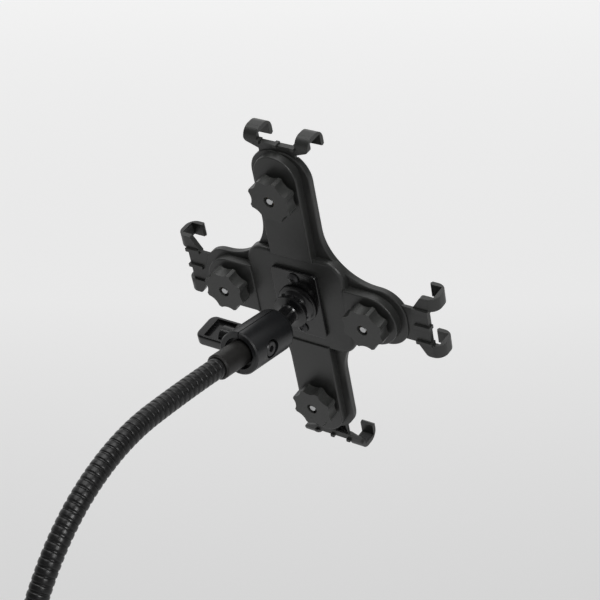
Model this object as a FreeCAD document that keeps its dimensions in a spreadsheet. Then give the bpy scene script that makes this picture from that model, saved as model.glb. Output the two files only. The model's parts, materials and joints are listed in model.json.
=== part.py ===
import FreeCAD, Part
import math
import os
import re

import Sketcher

# Floor stand that holds a tablet in a four-clawed holder on a bendable arm.
# Millimetres, Z up. The origin is the middle of the base, on the floor.
# The person using it stands on the -Y side, and the arm rises behind the holder.

Vector = FreeCAD.Vector
Placement = FreeCAD.Placement
Rotation = FreeCAD.Rotation

X_AXIS = Vector(1, 0, 0)
Y_AXIS = Vector(0, 1, 0)
Z_AXIS = Vector(0, 0, 1)
QUARTERS = (0, 90, 180, 270)

SIZES = [
    # Held tablet and the lean of the holder
    ("tablet_width", 185.7),
    ("tablet_height", 241.2),
    ("tablet_thickness", 9.0),
    ("hub_rise", 3.5),
    ("holder_lean", 16.57),
    # Front plate and rear cover of the holder
    ("pad_thickness", 0.8),
    ("back_rest_length", 26.0),
    ("back_rest_width", 10.0),
    ("back_rest_corner", 2.0),
    ("back_rest_inset", 9.0),
    ("channel_floor", 1.1),
    ("front_plate_thickness", 2.4),
    ("blade_thickness", 2.1),
    ("blade_width", 26.0),
    ("slide_gap", 0.2),
    ("side_gap", 0.3),
    ("channel_roof", 1.0),
    ("arm_half_width", 21.0),
    ("arm_corner_radius", 18.0),
    ("web_gap", 1.0),
    ("long_arm_setback", 10.6),
    ("short_arm_setback", 17.85),
    ("long_bolt_setback", 37.1),
    ("short_bolt_setback", 40.85),
    ("hub_width", 72.0),
    ("hub_corner_radius", 13.0),
    ("hub_height", 4.6),
    ("hub_rounding", 2.4),
    ("tongue_height", 5.6),
    ("tongue_rounding", 0.9),
    ("long_tongue_half_width", 15.5),
    ("short_tongue_half_width", 18.5),
    ("tongue_roof", 2.4),
    ("hollow_width", 22.0),
    ("bolt_boss_diameter", 13.0),
    ("edge_chamfer", 0.5),
    ("case_screw_diameter", 3.0),
    ("case_screw_head", 5.4),
    ("case_screw_length", 6.8),
    ("case_screw_offset", 24.0),
    # Claws
    ("claw_bar_inset", 3.2),
    ("claw_bar_thickness", 3.6),
    ("long_flare_start", 7.8),
    ("short_flare_start", 13.5),
    ("long_flare_end", 4.2),
    ("short_flare_end", 7.0),
    ("claw_corner_radius", 3.0),
    ("claw_rib_width", 2.6),
    ("claw_rib_height", 1.5),
    ("claw_rib_spacing", 12.5),
    ("claw_rib_overhang", 1.0),
    ("long_rib_start", 4.3),
    ("short_rib_start", 13.2),
    ("hook_spacing", 36.6),
    ("hook_width", 9.4),
    ("hook_wall", 3.0),
    ("hook_radius", 7.0),
    ("hook_tip_reach", 8.0),
    ("hook_tip_gap", 0.9),
    ("claw_lining_thickness", 0.7),
    ("claw_lining_width", 7.4),
    ("claw_lining_margin", 0.3),
    ("claw_relief", 3.8),
    ("slot_gap", 0.3),
    ("blade_tail", 6.0),
    ("long_travel_in", 2.5),
    ("long_travel_out", 29.0),
    ("short_travel_in", 3.5),
    ("short_travel_out", 24.0),
    # Arm bolts and star knobs
    ("arm_bolt_diameter", 5.0),
    ("arm_bolt_head", 12.0),
    ("arm_bolt_head_height", 0.6),
    ("washer_diameter", 13.0),
    ("washer_thickness", 0.8),
    ("thread_gap", 0.03),
    ("knob_diameter", 29.6),
    ("knob_height", 8.0),
    ("knob_foot_diameter", 18.0),
    ("knob_foot_height", 0.9),
    ("knob_points", 8),
    ("knob_scallop_diameter", 17.0),
    ("knob_scallop_depth", 2.1),
    ("knob_rounding", 0.7),
    ("knob_well_diameter", 7.4),
    ("knob_well_depth", 1.4),
    ("knob_insert_diameter", 9.0),
    ("bolt_end_sink", 0.7),
    # Stud plate and ball stud
    ("stud_plate_width", 34.0),
    ("stud_plate_height", 50.0),
    ("stud_plate_corner", 3.5),
    ("stud_plate_thickness", 2.5),
    ("plate_screw_offset", 19.6),
    ("plate_screw_diameter", 4.0),
    ("plate_screw_head", 7.6),
    ("plate_screw_head_height", 2.6),
    ("hole_gap", 0.15),
    ("nut_thickness", 2.2),
    ("plate_nut_flats", 7.0),
    ("stud_nut_flats", 13.0),
    ("spigot_diameter", 8.0),
    ("stud_base_diameter", 27.4),
    ("stud_base_height", 1.8),
    ("stud_waist_diameter", 19.0),
    ("stud_waist_height", 4.6),
    ("stud_collar_diameter", 23.5),
    ("stud_collar_height", 9.6),
    ("stud_collar_lip", 1.0),
    ("stud_neck_diameter", 12.0),
    ("ball_distance", 28.5),
    ("ball_core_diameter", 16.0),
    ("ball_diameter", 20.0),
    ("ball_gap", 0.15),
    ("core_gap", 0.03),
    # Clamping barrel
    ("barrel_drop", 1.2),
    ("barrel_diameter", 28.2),
    ("barrel_mouth", 3.5),
    ("barrel_length", 40.8),
    ("barrel_rounding", 4.2),
    ("barrel_edge", 0.8),
    ("barrel_split", 0.3),
    ("barrel_hollow_diameter", 10.0),
    ("recess_diameter", 20.7),
    ("recess_depth", 4.3),
    ("clamp_bolt_position", 21.5),
    ("clamp_bolt_diameter", 5.0),
    ("clamp_head_diameter", 9.4),
    ("clamp_head_height", 4.6),
    ("clamp_key_flats", 4.0),
    ("clamp_key_depth", 2.6),
    ("head_recess_diameter", 12.0),
    ("head_recess_floor", 8.6),
    ("wing_seat", 11.4),
    ("wing_seat_diameter", 15.0),
    ("post_neck_diameter", 11.0),
    ("post_flange_diameter", 17.0),
    ("post_flange_thickness", 3.0),
    ("post_gap", 0.3),
    ("post_wall", 3.1),
    # Wing knob
    ("wing_foot_diameter", 12.6),
    ("wing_foot_height", 10.5),
    ("wing_blade_start", 3.0),
    ("wing_span", 20.5),
    ("wing_height", 25.8),
    ("wing_thickness", 7.6),
    ("wing_corner_radius", 5.0),
    ("wing_rounding", 1.6),
    ("wing_hollow_width", 16.0),
    ("wing_hollow_start", 4.6),
    ("wing_hollow_end", 19.6),
    ("wing_hollow_depth", 2.6),
    ("wing_angle", 17.0),
    ("wing_insert_diameter", 8.0),
    ("wing_insert_length", 9.0),
    # Bendable arm, from its lower end upwards
    ("neck_base_height", 925.0),
    ("neck_straight_run", 60.0),
    ("neck_low_radius", 165.0),
    ("neck_low_angle", 50.0),
    ("neck_mid_radius", 130.0),
    ("neck_mid_angle", 5.0),
    ("neck_high_radius", 950.0),
    ("neck_crest_diameter", 13.0),
    ("neck_groove_diameter", 11.9),
    ("neck_bore_diameter", 5.6),
    ("neck_end_diameter", 11.6),
    ("neck_end_depth", 12.0),
    ("rib_pitch", 4.9),
    ("rib_end_step", 0.3),
    ("upper_ferrule_diameter", 16.2),
    ("upper_ferrule_show", 21.7),
    ("lower_ferrule_diameter", 18.0),
    ("lower_ferrule_length", 38.0),
    ("ferrule_rounding", 1.0),
    ("lower_stud_diameter", 10.0),
    ("lower_stud_length", 30.0),
    # Poles and the height clamp
    ("outer_pole_diameter", 25.4),
    ("outer_pole_wall", 1.5),
    ("outer_pole_top", 560.0),
    ("inner_pole_diameter", 19.0),
    ("inner_pole_wall", 1.2),
    ("inner_pole_bottom", 360.0),
    ("pole_cap_diameter", 23.0),
    ("pole_cap_height", 14.0),
    ("pole_cap_step", 4.0),
    ("pole_plug_length", 30.0),
    ("pole_fit", 0.1),
    ("bush_height", 24.0),
    ("bush_lip", 5.0),
    ("bush_lip_bore", 13.0),
    ("liner_height", 26.0),
    ("liner_flange", 2.0),
    ("clamp_collar_diameter", 39.0),
    ("clamp_collar_height", 52.0),
    ("clamp_collar_roof", 5.0),
    ("clamp_boss_diameter", 24.0),
    ("clamp_boss_reach", 33.0),
    ("clamp_screw_drop", 22.0),
    ("clamp_screw_diameter", 8.0),
    ("clamp_nut_flats", 13.0),
    ("clamp_nut_thickness", 6.0),
    ("height_knob_diameter", 38.0),
    ("height_knob_depth", 16.0),
    ("height_knob_gap", 2.0),
    # Base
    ("base_diameter", 284.0),
    ("base_lift", 2.5),
    ("base_rim_height", 16.0),
    ("base_top_height", 27.0),
    ("base_neck_diameter", 46.0),
    ("base_shell", 1.6),
    ("weight_side_gap", 6.0),
    ("weight_bottom", 4.0),
    ("weight_thickness", 10.0),
    ("weight_boss_diameter", 60.0),
    ("weight_boss_height", 8.0),
    ("counterbore_diameter", 28.0),
    ("counterbore_depth", 9.0),
    ("base_bolt_diameter", 10.0),
    ("base_bolt_flats", 16.0),
    ("base_bolt_head", 6.4),
    ("base_bolt_length", 34.0),
    ("base_washer_diameter", 25.0),
    ("base_washer_thickness", 2.0),
    ("foot_diameter", 22.0),
    ("foot_inset", 23.0),
    ("foot_count", 6),
    ("base_collar_diameter", 40.0),
    ("base_collar_height", 20.0),
]

document = FreeCAD.newDocument("tablet_floor_stand")
sheet = document.addObject("Spreadsheet::Sheet", "Sizes")
for row, (alias, value) in enumerate(SIZES, 1):
    sheet.set("A%d" % row, alias.replace("_", " "))
    sheet.set("B%d" % row, str(value))
    sheet.setAlias("B%d" % row, alias)
document.recompute()

ALIASES = {alias for alias, value in SIZES}
parts = []

# Ends of the arms and places of their bolts, from the holder's centre, set back from the tablet's edges
ARM_REACH = {"long": "(tablet_height / 2 - long_arm_setback)",
             "short": "(tablet_width / 2 - short_arm_setback)"}
BOLT_REACH = {"long": "(tablet_height / 2 - long_bolt_setback)",
              "short": "(tablet_width / 2 - short_bolt_setback)"}
WEB_RADIUS = "(%s - arm_half_width - arm_corner_radius - web_gap)" % ARM_REACH["short"]

# Heights above the front face of the held tablet, out of its back
PLATE_BOTTOM = "(tablet_thickness + pad_thickness)"
BLADE_FLOOR = "(%s + channel_floor)" % PLATE_BOTTOM
PLATE_TOP = "(%s + front_plate_thickness)" % PLATE_BOTTOM
CHANNEL_TOP = "(%s + blade_thickness + 2 * slide_gap)" % BLADE_FLOOR
FLANGE_TOP = "(%s + channel_roof)" % CHANNEL_TOP
HUB_TOP = "(%s + hub_height)" % FLANGE_TOP
TONGUE_TOP = "(%s + tongue_height)" % FLANGE_TOP
STUD_SEAT = "(%s + stud_plate_thickness)" % HUB_TOP
BALL_CENTRE = "(%s + ball_distance)" % STUD_SEAT
NUT_BOTTOM = "(%s + slide_gap)" % BLADE_FLOOR
KNOB_SEAT = "(%s + washer_thickness)" % TONGUE_TOP
KNOB_TOP = "(%s + knob_foot_height + knob_height)" % KNOB_SEAT

# Stations along the barrel, from the ball's centre towards the bendable arm
BARREL_END = "(barrel_length - barrel_mouth)"
RECESS_FLOOR = "(%s - recess_depth)" % BARREL_END
GROOVE_END = "(%s - post_wall)" % RECESS_FLOOR
GROOVE_START = "(%s - post_flange_thickness - 2 * post_gap)" % GROOVE_END
NECK_END = "(%s + upper_ferrule_show)" % BARREL_END

# Heights of the base
WEIGHT_TOP = "(weight_bottom + weight_thickness)"
WEIGHT_EDGE = "(base_diameter / 2 - base_shell - weight_side_gap)"
BOSS_TOP = "(%s + weight_boss_height)" % WEIGHT_TOP
POLE_BORE = "(outer_pole_diameter - 2 * outer_pole_wall)"
INNER_TOP = "(neck_base_height - lower_ferrule_length - pole_cap_step)"


def formula(text):
    """The text with each size replaced by its cell in the sheet."""
    return re.sub(r"[a-z_]{3,}", lambda word: "Sizes." + word.group() if word.group() in ALIASES
                  else word.group(), str(text))


def number(text):
    """The value of a formula in millimetres or degrees."""
    return float(sheet.evalExpression(formula(text)))


def bind(feature, name, text):
    feature.setExpression(name, formula(text))


def sub_part(label, placement=None):
    """A new body for one piece of the stand."""
    body = document.addObject("PartDesign::Body", label)
    body.Label = label
    body.Placement = placement or Placement()
    parts.append(body)
    return body


def origin_feature(body, role):
    return next(item for item in body.Origin.OriginFeatures if item.Role == role)


def new_sketch(body, plane="XY_Plane", lift=None):
    """A sketch on one of the body's own planes, lifted off it by a formula."""
    sketch = body.newObject("Sketcher::SketchObject", body.Label + "_sketch")
    sketch.AttachmentSupport = (origin_feature(body, plane), [""])
    sketch.MapMode = "FlatFace"
    if lift:
        bind(sketch, ".AttachmentOffset.Base.z", lift)
    return sketch


def place_point(sketch, edge, end, x_text, y_text):
    """Hold one end of an edge at a place given by two formulas."""
    for kind, text, axis in (("DistanceX", x_text, -2), ("DistanceY", y_text, -1)):
        value = number(text)
        if abs(value) < 1e-9:
            sketch.addConstraint(Sketcher.Constraint("PointOnObject", edge, end, axis))
        else:
            index = sketch.addConstraint(Sketcher.Constraint(kind, -1, 1, edge, end, value))
            sketch.setExpression("Constraints[%d]" % index, formula(text))


def outline(sketch, corners):
    """A closed outline. A corner is (x, y), or (x, y, middle_x, middle_y) where an arc leaves it."""
    first_edge = sketch.GeometryCount
    places = [Vector(number(corner[0]), number(corner[1]), 0) for corner in corners]
    ends = []
    for index, corner in enumerate(corners):
        start = places[index]
        finish = places[(index + 1) % len(corners)]
        if len(corner) == 4:
            middle = Vector(number(corner[2]), number(corner[3]), 0)
            sketch.addGeometry(Part.Arc(start, middle, finish), False)
            turns_left = (middle - start).cross(finish - middle).z > 0
            ends.append((1, 2) if turns_left else (2, 1))
        else:
            sketch.addGeometry(Part.LineSegment(start, finish), False)
            ends.append((1, 2))
    for index, corner in enumerate(corners):
        before = index - 1 if index else len(corners) - 1
        sketch.addConstraint(Sketcher.Constraint("Coincident", first_edge + before, ends[before][1],
                                                 first_edge + index, ends[index][0]))
        place_point(sketch, first_edge + index, ends[index][0], corner[0], corner[1])
    return sketch


def circle(sketch, diameter, x_text="0", y_text="0"):
    """A circle whose diameter and centre are formulas."""
    centre = Vector(number(x_text), number(y_text), 0)
    edge = sketch.addGeometry(Part.Circle(centre, Z_AXIS, number(diameter) / 2), False)
    index = sketch.addConstraint(Sketcher.Constraint("Diameter", edge, number(diameter)))
    sketch.setExpression("Constraints[%d]" % index, formula(diameter))
    place_point(sketch, edge, 3, x_text, y_text)
    return sketch


def rectangle(sketch, left, bottom, right, top):
    return outline(sketch, [(left, bottom), (right, bottom), (right, top), (left, top)])


def rounded_rectangle(sketch, half_width, half_height, radius):
    """A centred rectangle with round corners."""
    inner_x = "(%s - %s)" % (half_width, radius)
    inner_y = "(%s - %s)" % (half_height, radius)
    bend_x = "(%s + %s * cos(45))" % (inner_x, radius)
    bend_y = "(%s + %s * cos(45))" % (inner_y, radius)
    return outline(sketch, [
        ("-" + inner_x, "-" + half_height), (inner_x, "-" + half_height, bend_x, "-" + bend_y),
        (half_width, "-" + inner_y), (half_width, inner_y, bend_x, bend_y),
        (inner_x, half_height), ("-" + inner_x, half_height, "-" + bend_x, bend_y),
        ("-" + half_width, inner_y), ("-" + half_width, "-" + inner_y, "-" + bend_x, "-" + bend_y)])


def hexagon(sketch, flats):
    """A hexagon, given by the distance across its flats."""
    corner = "(%s / 2 / cos(30))" % flats
    return outline(sketch, [("%s * cos(%d)" % (corner, angle), "%s * sin(%d)" % (corner, angle))
                            for angle in range(0, 360, 60)])


def grow(body, kind, sketch, settings):
    """Add one feature to a body and check that it changed the solid."""
    before = body.Tip.Shape.Volume if body.Tip else 0.0
    feature = body.newObject("PartDesign::" + kind, body.Label + "_" + kind.lower())
    feature.Profile = sketch
    for name, value in settings.items():
        if isinstance(value, str) and name not in ("Type",):
            bind(feature, name, value)
        else:
            setattr(feature, name, value)
    document.recompute()
    change = feature.Shape.Volume - before
    wanted = -1 if kind in ("Pocket", "Groove") else 1
    if change * wanted < 1e-3:
        raise ValueError("%s of %s changes the volume by %g" % (kind, body.Label, change))
    return feature


def pad(body, sketch, length, **settings):
    return grow(body, "Pad", sketch, dict(Length=length, **settings))


def pocket(body, sketch, length=None, **settings):
    """Cut a sketch away, through everything where no depth is given."""
    if length is None:
        return grow(body, "Pocket", sketch, dict(Type="ThroughAll", **settings))
    return grow(body, "Pocket", sketch, dict(Length=length, **settings))


def turn(body, corners, kind="Revolution", angle=360.0):
    """Turn a profile of (radius, height) corners about the body's own Z axis."""
    sketch = outline(new_sketch(body, "XZ_Plane"), corners)
    return grow(body, kind, sketch, dict(ReferenceAxis=(sketch, ["V_Axis"]), Angle=angle))


def turned(label, corners, placement=None):
    body = sub_part(label, placement)
    turn(body, corners)
    return body


def soften(body, kind, size, wanted):
    """Fillet or chamfer the edges of the last feature that a test picks."""
    base = body.Tip
    names = ["Edge%d" % (index + 1) for index, edge in enumerate(base.Shape.Edges) if wanted(edge)]
    if not names:
        raise ValueError("no edge to soften on " + body.Label)
    feature = body.newObject("PartDesign::" + kind, body.Label + "_" + kind.lower())
    feature.Base = (base, names)
    bind(feature, "Radius" if kind == "Fillet" else "Size", size)
    document.recompute()
    return feature


def edges_at_height(text, reach=None):
    """A test for edges that lie flat at one height of the body, beyond a given reach."""
    height = number(text)

    def wanted(edge):
        box = edge.BoundBox
        flat = abs(box.ZMin - height) < 1e-4 and abs(box.ZMax - height) < 1e-4
        far = reach is None or max(abs(box.XMin), abs(box.XMax), abs(box.YMin), abs(box.YMax)) > reach
        return flat and far
    return wanted


def repeat(body, feature, count, sketch):
    """Repeat a feature round the axis of its sketch."""
    pattern = body.newObject("PartDesign::PolarPattern", body.Label + "_pattern")
    pattern.Originals = [feature]
    pattern.Axis = (sketch, ["N_Axis"])
    pattern.Angle = 360.0
    pattern.Occurrences = count
    body.Tip = pattern
    document.recompute()
    return pattern


def group(label, pattern_body, placements):
    """One node of equal, separate pieces: the pattern piece copied to each place."""
    parts.remove(pattern_body)
    pieces = [pattern_body.Shape.transformed(place.toMatrix(), True) for place in placements]
    feature = document.addObject("Part::Feature", label)
    feature.Label = label
    feature.Shape = Part.makeCompound(pieces)
    parts.append(feature)
    return feature


def washer(label, placement, outer, inner, bottom, thickness):
    return turned(label, [(inner + " / 2", bottom), (outer + " / 2", bottom),
                          (outer + " / 2", "%s + %s" % (bottom, thickness)),
                          (inner + " / 2", "%s + %s" % (bottom, thickness))], placement)


def nut(label, placement, flats, bore, bottom, thickness):
    """A hexagon nut with a plain bore."""
    body = sub_part(label, placement)
    sketch = hexagon(new_sketch(body, lift=bottom), flats)
    circle(sketch, bore)
    pad(body, sketch, thickness)
    return body


def star_knob(label, placement, sizes):
    """An eight-pointed knob on a short round foot, with a well in its face. It stands on Z = 0."""
    diameter, height, foot_diameter, foot_height, scallop, depth, bore = sizes
    body = sub_part(label, placement)
    pad(body, circle(new_sketch(body), foot_diameter), foot_height)
    pad(body, circle(new_sketch(body, lift=foot_height), diameter), height)
    soften(body, "Fillet", "knob_rounding", edges_at_height("%s + %s" % (foot_height, height)))
    centre = "(%s / 2 + %s / 2 - %s)" % (diameter, scallop, depth)
    cut = circle(new_sketch(body, lift=foot_height), scallop, centre, "0")
    repeat(body, pocket(body, cut, Reversed=True), int(number("knob_points")), cut)
    pocket(body, circle(new_sketch(body, lift="%s + %s" % (foot_height, height)), "knob_well_diameter"),
           "knob_well_depth")
    pocket(body, circle(new_sketch(body), bore), "%s + %s - knob_well_depth - 1.2"
           % (foot_height, height), Reversed=True)
    pocket(body, circle(new_sketch(body), "arm_bolt_diameter + 1"), Reversed=True)
    return body


# Centre line of the bendable arm, worked out from its lower end upwards


def along(angle):
    """Direction at an angle above the level, towards the person."""
    return Vector(0, -math.cos(math.radians(angle)), math.sin(math.radians(angle)))


def above(angle):
    """Direction square to that one, towards the outside of the bend."""
    return Vector(0, math.sin(math.radians(angle)), math.cos(math.radians(angle)))


neck_base = Vector(0, 0, number("neck_base_height"))
neck_spans = []
point = neck_base + Z_AXIS * number("neck_straight_run")
neck_spans.append(("line", neck_base - Z_AXIS * number("neck_end_depth"), point))
angle = 90.0
for radius, end_angle in ((number("neck_low_radius"), number("neck_low_angle")),
                          (number("neck_mid_radius"), number("neck_mid_angle")),
                          (number("neck_high_radius"), number("barrel_drop"))):
    centre = point - above(angle) * radius
    middle = centre + above((angle + end_angle) / 2) * radius
    finish = centre + above(end_angle) * radius
    neck_spans.append(("arc", point, middle, finish))
    point, angle = finish, end_angle
neck_top = point
neck_heading = along(angle)
neck_spans.append(("line", neck_top, neck_top + neck_heading * number("neck_end_depth")))
ball_centre = neck_top + neck_heading * number(NECK_END)

lean = math.radians(number("holder_lean"))
holder_back = Vector(0, math.cos(lean), -math.sin(lean))
holder_up = Vector(0, math.sin(lean), math.cos(lean))
holder_frame = Placement(ball_centre - holder_back * number(BALL_CENTRE),
                         Rotation(-X_AXIS, holder_up, holder_back, "ZXY"))
barrel_frame = Placement(ball_centre, Rotation(-X_AXIS, (-neck_heading).cross(-X_AXIS),
                                               -neck_heading, "ZXY"))

# Base


def make_base():
    weight = turned("base_weight", [
        ("(base_bolt_diameter + 1) / 2", "weight_bottom + counterbore_depth"),
        ("counterbore_diameter / 2", "weight_bottom + counterbore_depth"),
        ("counterbore_diameter / 2", "weight_bottom"),
        (WEIGHT_EDGE, "weight_bottom"), (WEIGHT_EDGE, WEIGHT_TOP),
        ("weight_boss_diameter / 2", WEIGHT_TOP), ("weight_boss_diameter / 2", BOSS_TOP),
        ("(base_bolt_diameter + 1) / 2", BOSS_TOP)])
    soften(weight, "Chamfer", "edge_chamfer * 2",
           edges_at_height(WEIGHT_TOP, number("weight_boss_diameter / 2 + 1")))

    rim = "base_diameter / 2"
    inside = "(base_diameter / 2 - base_shell)"
    turned("base_cover", [
        (rim, "base_lift"),
        (rim, "base_rim_height - 5", rim + " - 1.5", "base_rim_height - 1.4"),
        (rim + " - 5", "base_rim_height + 0.2"),
        ("base_neck_diameter / 2 + 8", "base_top_height - 1.5",
         "base_neck_diameter / 2 + 3.5", "base_top_height - 0.7"),
        ("base_neck_diameter / 2", "base_top_height"),
        ("outer_pole_diameter / 2 + pole_fit", "base_top_height"),
        ("outer_pole_diameter / 2 + pole_fit", "%s + 0.2" % BOSS_TOP),
        ("base_neck_diameter / 2 + 8", "base_top_height - 1.5 - base_shell"),
        (inside + " - 4", "base_rim_height - base_shell"),
        (inside, "base_rim_height - 5"), (inside, "base_lift")])

    foot = turned("foot_pattern", [
        ("0", "0"), ("foot_diameter / 2 - edge_chamfer * 2", "0"),
        ("foot_diameter / 2", "weight_bottom / 2"), ("foot_diameter / 2", "weight_bottom"),
        ("0", "weight_bottom")])
    count = int(number("foot_count"))
    around = [Rotation(Z_AXIS, 360.0 * index / count) for index in range(count)]
    group("base_feet", foot, [Placement(turn_by.multVec(Vector(number("base_diameter / 2 - foot_inset"), 0, 0)), turn_by)
                              for turn_by in around])

    washer_top = "(weight_bottom + counterbore_depth)"
    washer("base_washer", None, "base_washer_diameter", "(base_bolt_diameter + 0.6)",
           washer_top + " - base_washer_thickness", "base_washer_thickness")
    bolt = sub_part("base_bolt")
    head_bottom = washer_top + " - base_washer_thickness - base_bolt_head"
    pad(bolt, hexagon(new_sketch(bolt, lift=head_bottom), "base_bolt_flats"), "base_bolt_head")
    pad(bolt, circle(new_sketch(bolt, lift=head_bottom), "base_bolt_diameter"),
        "base_bolt_head + base_bolt_length")


def make_poles():
    plug = [("(base_bolt_diameter / 2 + thread_gap)", BOSS_TOP),
            (POLE_BORE + " / 2 - thread_gap", BOSS_TOP),
            (POLE_BORE + " / 2 - thread_gap", BOSS_TOP + " + pole_plug_length"),
            ("(base_bolt_diameter / 2 + thread_gap)", BOSS_TOP + " + pole_plug_length")]
    turned("pole_foot_plug", plug)

    pole = turned("outer_pole", [
        (POLE_BORE + " / 2", BOSS_TOP), ("outer_pole_diameter / 2", BOSS_TOP),
        ("outer_pole_diameter / 2", "outer_pole_top"), (POLE_BORE + " / 2", "outer_pole_top")])
    pocket(pole, circle(new_sketch(pole, "YZ_Plane"), "clamp_screw_diameter + 1", "0",
                        "outer_pole_top - clamp_screw_drop"), "outer_pole_diameter", Reversed=True)

    turned("base_collar", [
        ("outer_pole_diameter / 2 + pole_fit", "base_top_height"),
        ("base_collar_diameter / 2", "base_top_height"),
        ("base_collar_diameter / 2", "base_top_height + 5", "base_collar_diameter / 2 - 3.6",
         "base_top_height + base_collar_height / 2"),
        ("outer_pole_diameter / 2 + 2.4", "base_top_height + base_collar_height"),
        ("outer_pole_diameter / 2 + pole_fit", "base_top_height + base_collar_height")])

    inner = "inner_pole_diameter / 2"
    bore = "(inner_pole_diameter / 2 - inner_pole_wall)"
    turned("inner_pole", [(bore, "inner_pole_bottom"), (inner, "inner_pole_bottom"),
                          (inner, INNER_TOP), (bore, INNER_TOP)])
    turned("guide_bush", [
        ("bush_lip_bore / 2", "inner_pole_bottom - bush_lip - pole_fit"),
        (POLE_BORE + " / 2 - pole_fit", "inner_pole_bottom - bush_lip - pole_fit"),
        (POLE_BORE + " / 2 - pole_fit", "inner_pole_bottom - bush_lip + bush_height"),
        (inner + " + pole_fit", "inner_pole_bottom - bush_lip + bush_height"),
        (inner + " + pole_fit", "inner_pole_bottom - pole_fit"),
        ("bush_lip_bore / 2", "inner_pole_bottom - pole_fit")])
    turned("pole_top_plug", [
        ("lower_stud_diameter / 2 + thread_gap", INNER_TOP + " - pole_plug_length"),
        (bore + " - thread_gap", INNER_TOP + " - pole_plug_length"), (bore + " - thread_gap", INNER_TOP),
        ("lower_stud_diameter / 2 + thread_gap", INNER_TOP)])
    turned("pole_cap", [
        (inner + " + thread_gap", INNER_TOP + " + pole_cap_step - pole_cap_height"),
        ("pole_cap_diameter / 2 - 0.6", INNER_TOP + " + pole_cap_step - pole_cap_height"),
        ("pole_cap_diameter / 2", INNER_TOP + " + pole_cap_step - pole_cap_height + 0.8"),
        ("pole_cap_diameter / 2", INNER_TOP + " + pole_cap_step - 1.6",
         "pole_cap_diameter / 2 - 0.5", INNER_TOP + " + pole_cap_step - 0.5"),
        ("pole_cap_diameter / 2 - 1.6", INNER_TOP + " + pole_cap_step"),
        ("lower_stud_diameter / 2 + hole_gap", INNER_TOP + " + pole_cap_step"),
        ("lower_stud_diameter / 2 + hole_gap", INNER_TOP), (inner + " + thread_gap", INNER_TOP)])


def make_height_clamp():
    """Collar on the outer pole, with a knob whose screw presses the liner on the inner pole."""
    roof = "(outer_pole_top + liner_flange)"
    top = "(%s + clamp_collar_roof)" % roof
    bottom = "(%s - clamp_collar_height)" % top
    height = "outer_pole_top - clamp_screw_drop"
    collar = turned("clamp_collar", [
        ("outer_pole_diameter / 2 + pole_fit", bottom),
        ("clamp_collar_diameter / 2 - 4", bottom),
        ("clamp_collar_diameter / 2", bottom + " + 8"),
        ("clamp_collar_diameter / 2", top + " - 6", "clamp_collar_diameter / 2 - 1.6", top + " - 1.8"),
        ("clamp_collar_diameter / 2 - 5.5", top), ("inner_pole_diameter / 2 + side_gap", top),
        ("inner_pole_diameter / 2 + side_gap", roof),
        ("outer_pole_diameter / 2 + pole_fit", roof)])
    boss = circle(new_sketch(collar, "YZ_Plane", "outer_pole_diameter / 2 + 2"), "clamp_boss_diameter",
                  "0", height)
    pad(collar, boss, "clamp_boss_reach - outer_pole_diameter / 2 - 2")
    soften(collar, "Fillet", "ferrule_rounding",
           lambda edge: edge.BoundBox.XMin > number("clamp_boss_reach") - 1e-3)
    pocket(collar, circle(new_sketch(collar, "YZ_Plane"), "clamp_screw_diameter + 1", "0", height),
           "clamp_boss_reach + 2", Reversed=True)
    nut_frame = Placement(Vector(0, 0, number(height)), Rotation(Y_AXIS, 90))
    seat = new_sketch(collar, "YZ_Plane", "clamp_boss_reach")
    corner = "clamp_nut_flats / 2 / cos(30)"
    outline(seat, [("%s * cos(%d)" % (corner, turn_by), "%s + %s * sin(%d)" % (height, corner, turn_by))
                   for turn_by in range(0, 360, 60)])
    pocket(collar, seat, "clamp_nut_thickness")

    flange = "(clamp_collar_diameter / 2 - 4.5)"
    turned("collar_liner", [
        ("inner_pole_diameter / 2 + slide_gap / 2", "outer_pole_top - liner_height"),
        (POLE_BORE + " / 2 - thread_gap", "outer_pole_top - liner_height"),
        (POLE_BORE + " / 2 - thread_gap", "outer_pole_top"),
        ("outer_pole_diameter / 2", "outer_pole_top"), ("outer_pole_diameter / 2", roof),
        ("inner_pole_diameter / 2 + slide_gap / 2", roof)])
    clamp_nut = sub_part("clamp_nut", nut_frame)
    sketch = outline(new_sketch(clamp_nut, lift="clamp_boss_reach - clamp_nut_thickness"),
                     [("(%s - 0.06) * sin(%d)" % (corner, turn_by), "(%s - 0.06) * cos(%d)"
                       % (corner, turn_by)) for turn_by in range(0, 360, 60)])
    circle(sketch, "clamp_screw_diameter + 2 * thread_gap")
    pad(clamp_nut, sketch, "clamp_nut_thickness")

    knob_start = number("clamp_boss_reach + height_knob_gap")
    knob_frame = nut_frame.multiply(Placement(Vector(0, 0, knob_start), Rotation()))
    star_knob("height_knob", knob_frame, (
        "height_knob_diameter", "height_knob_depth", "clamp_boss_diameter", "knob_foot_height * 3",
        "knob_scallop_diameter * 1.3", "knob_scallop_depth * 1.3", "clamp_screw_diameter"))
    tip = "(%s / 2 + thread_gap * 2)" % POLE_BORE
    screw_end = "(clamp_boss_reach + height_knob_gap + height_knob_depth)"
    turned("height_screw", [
        ("0", tip), ("clamp_screw_diameter / 2 - 1", tip),
        ("clamp_screw_diameter / 2", tip + " + 1"), ("clamp_screw_diameter / 2", screw_end),
        ("0", screw_end)], nut_frame)


# Holder


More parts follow.
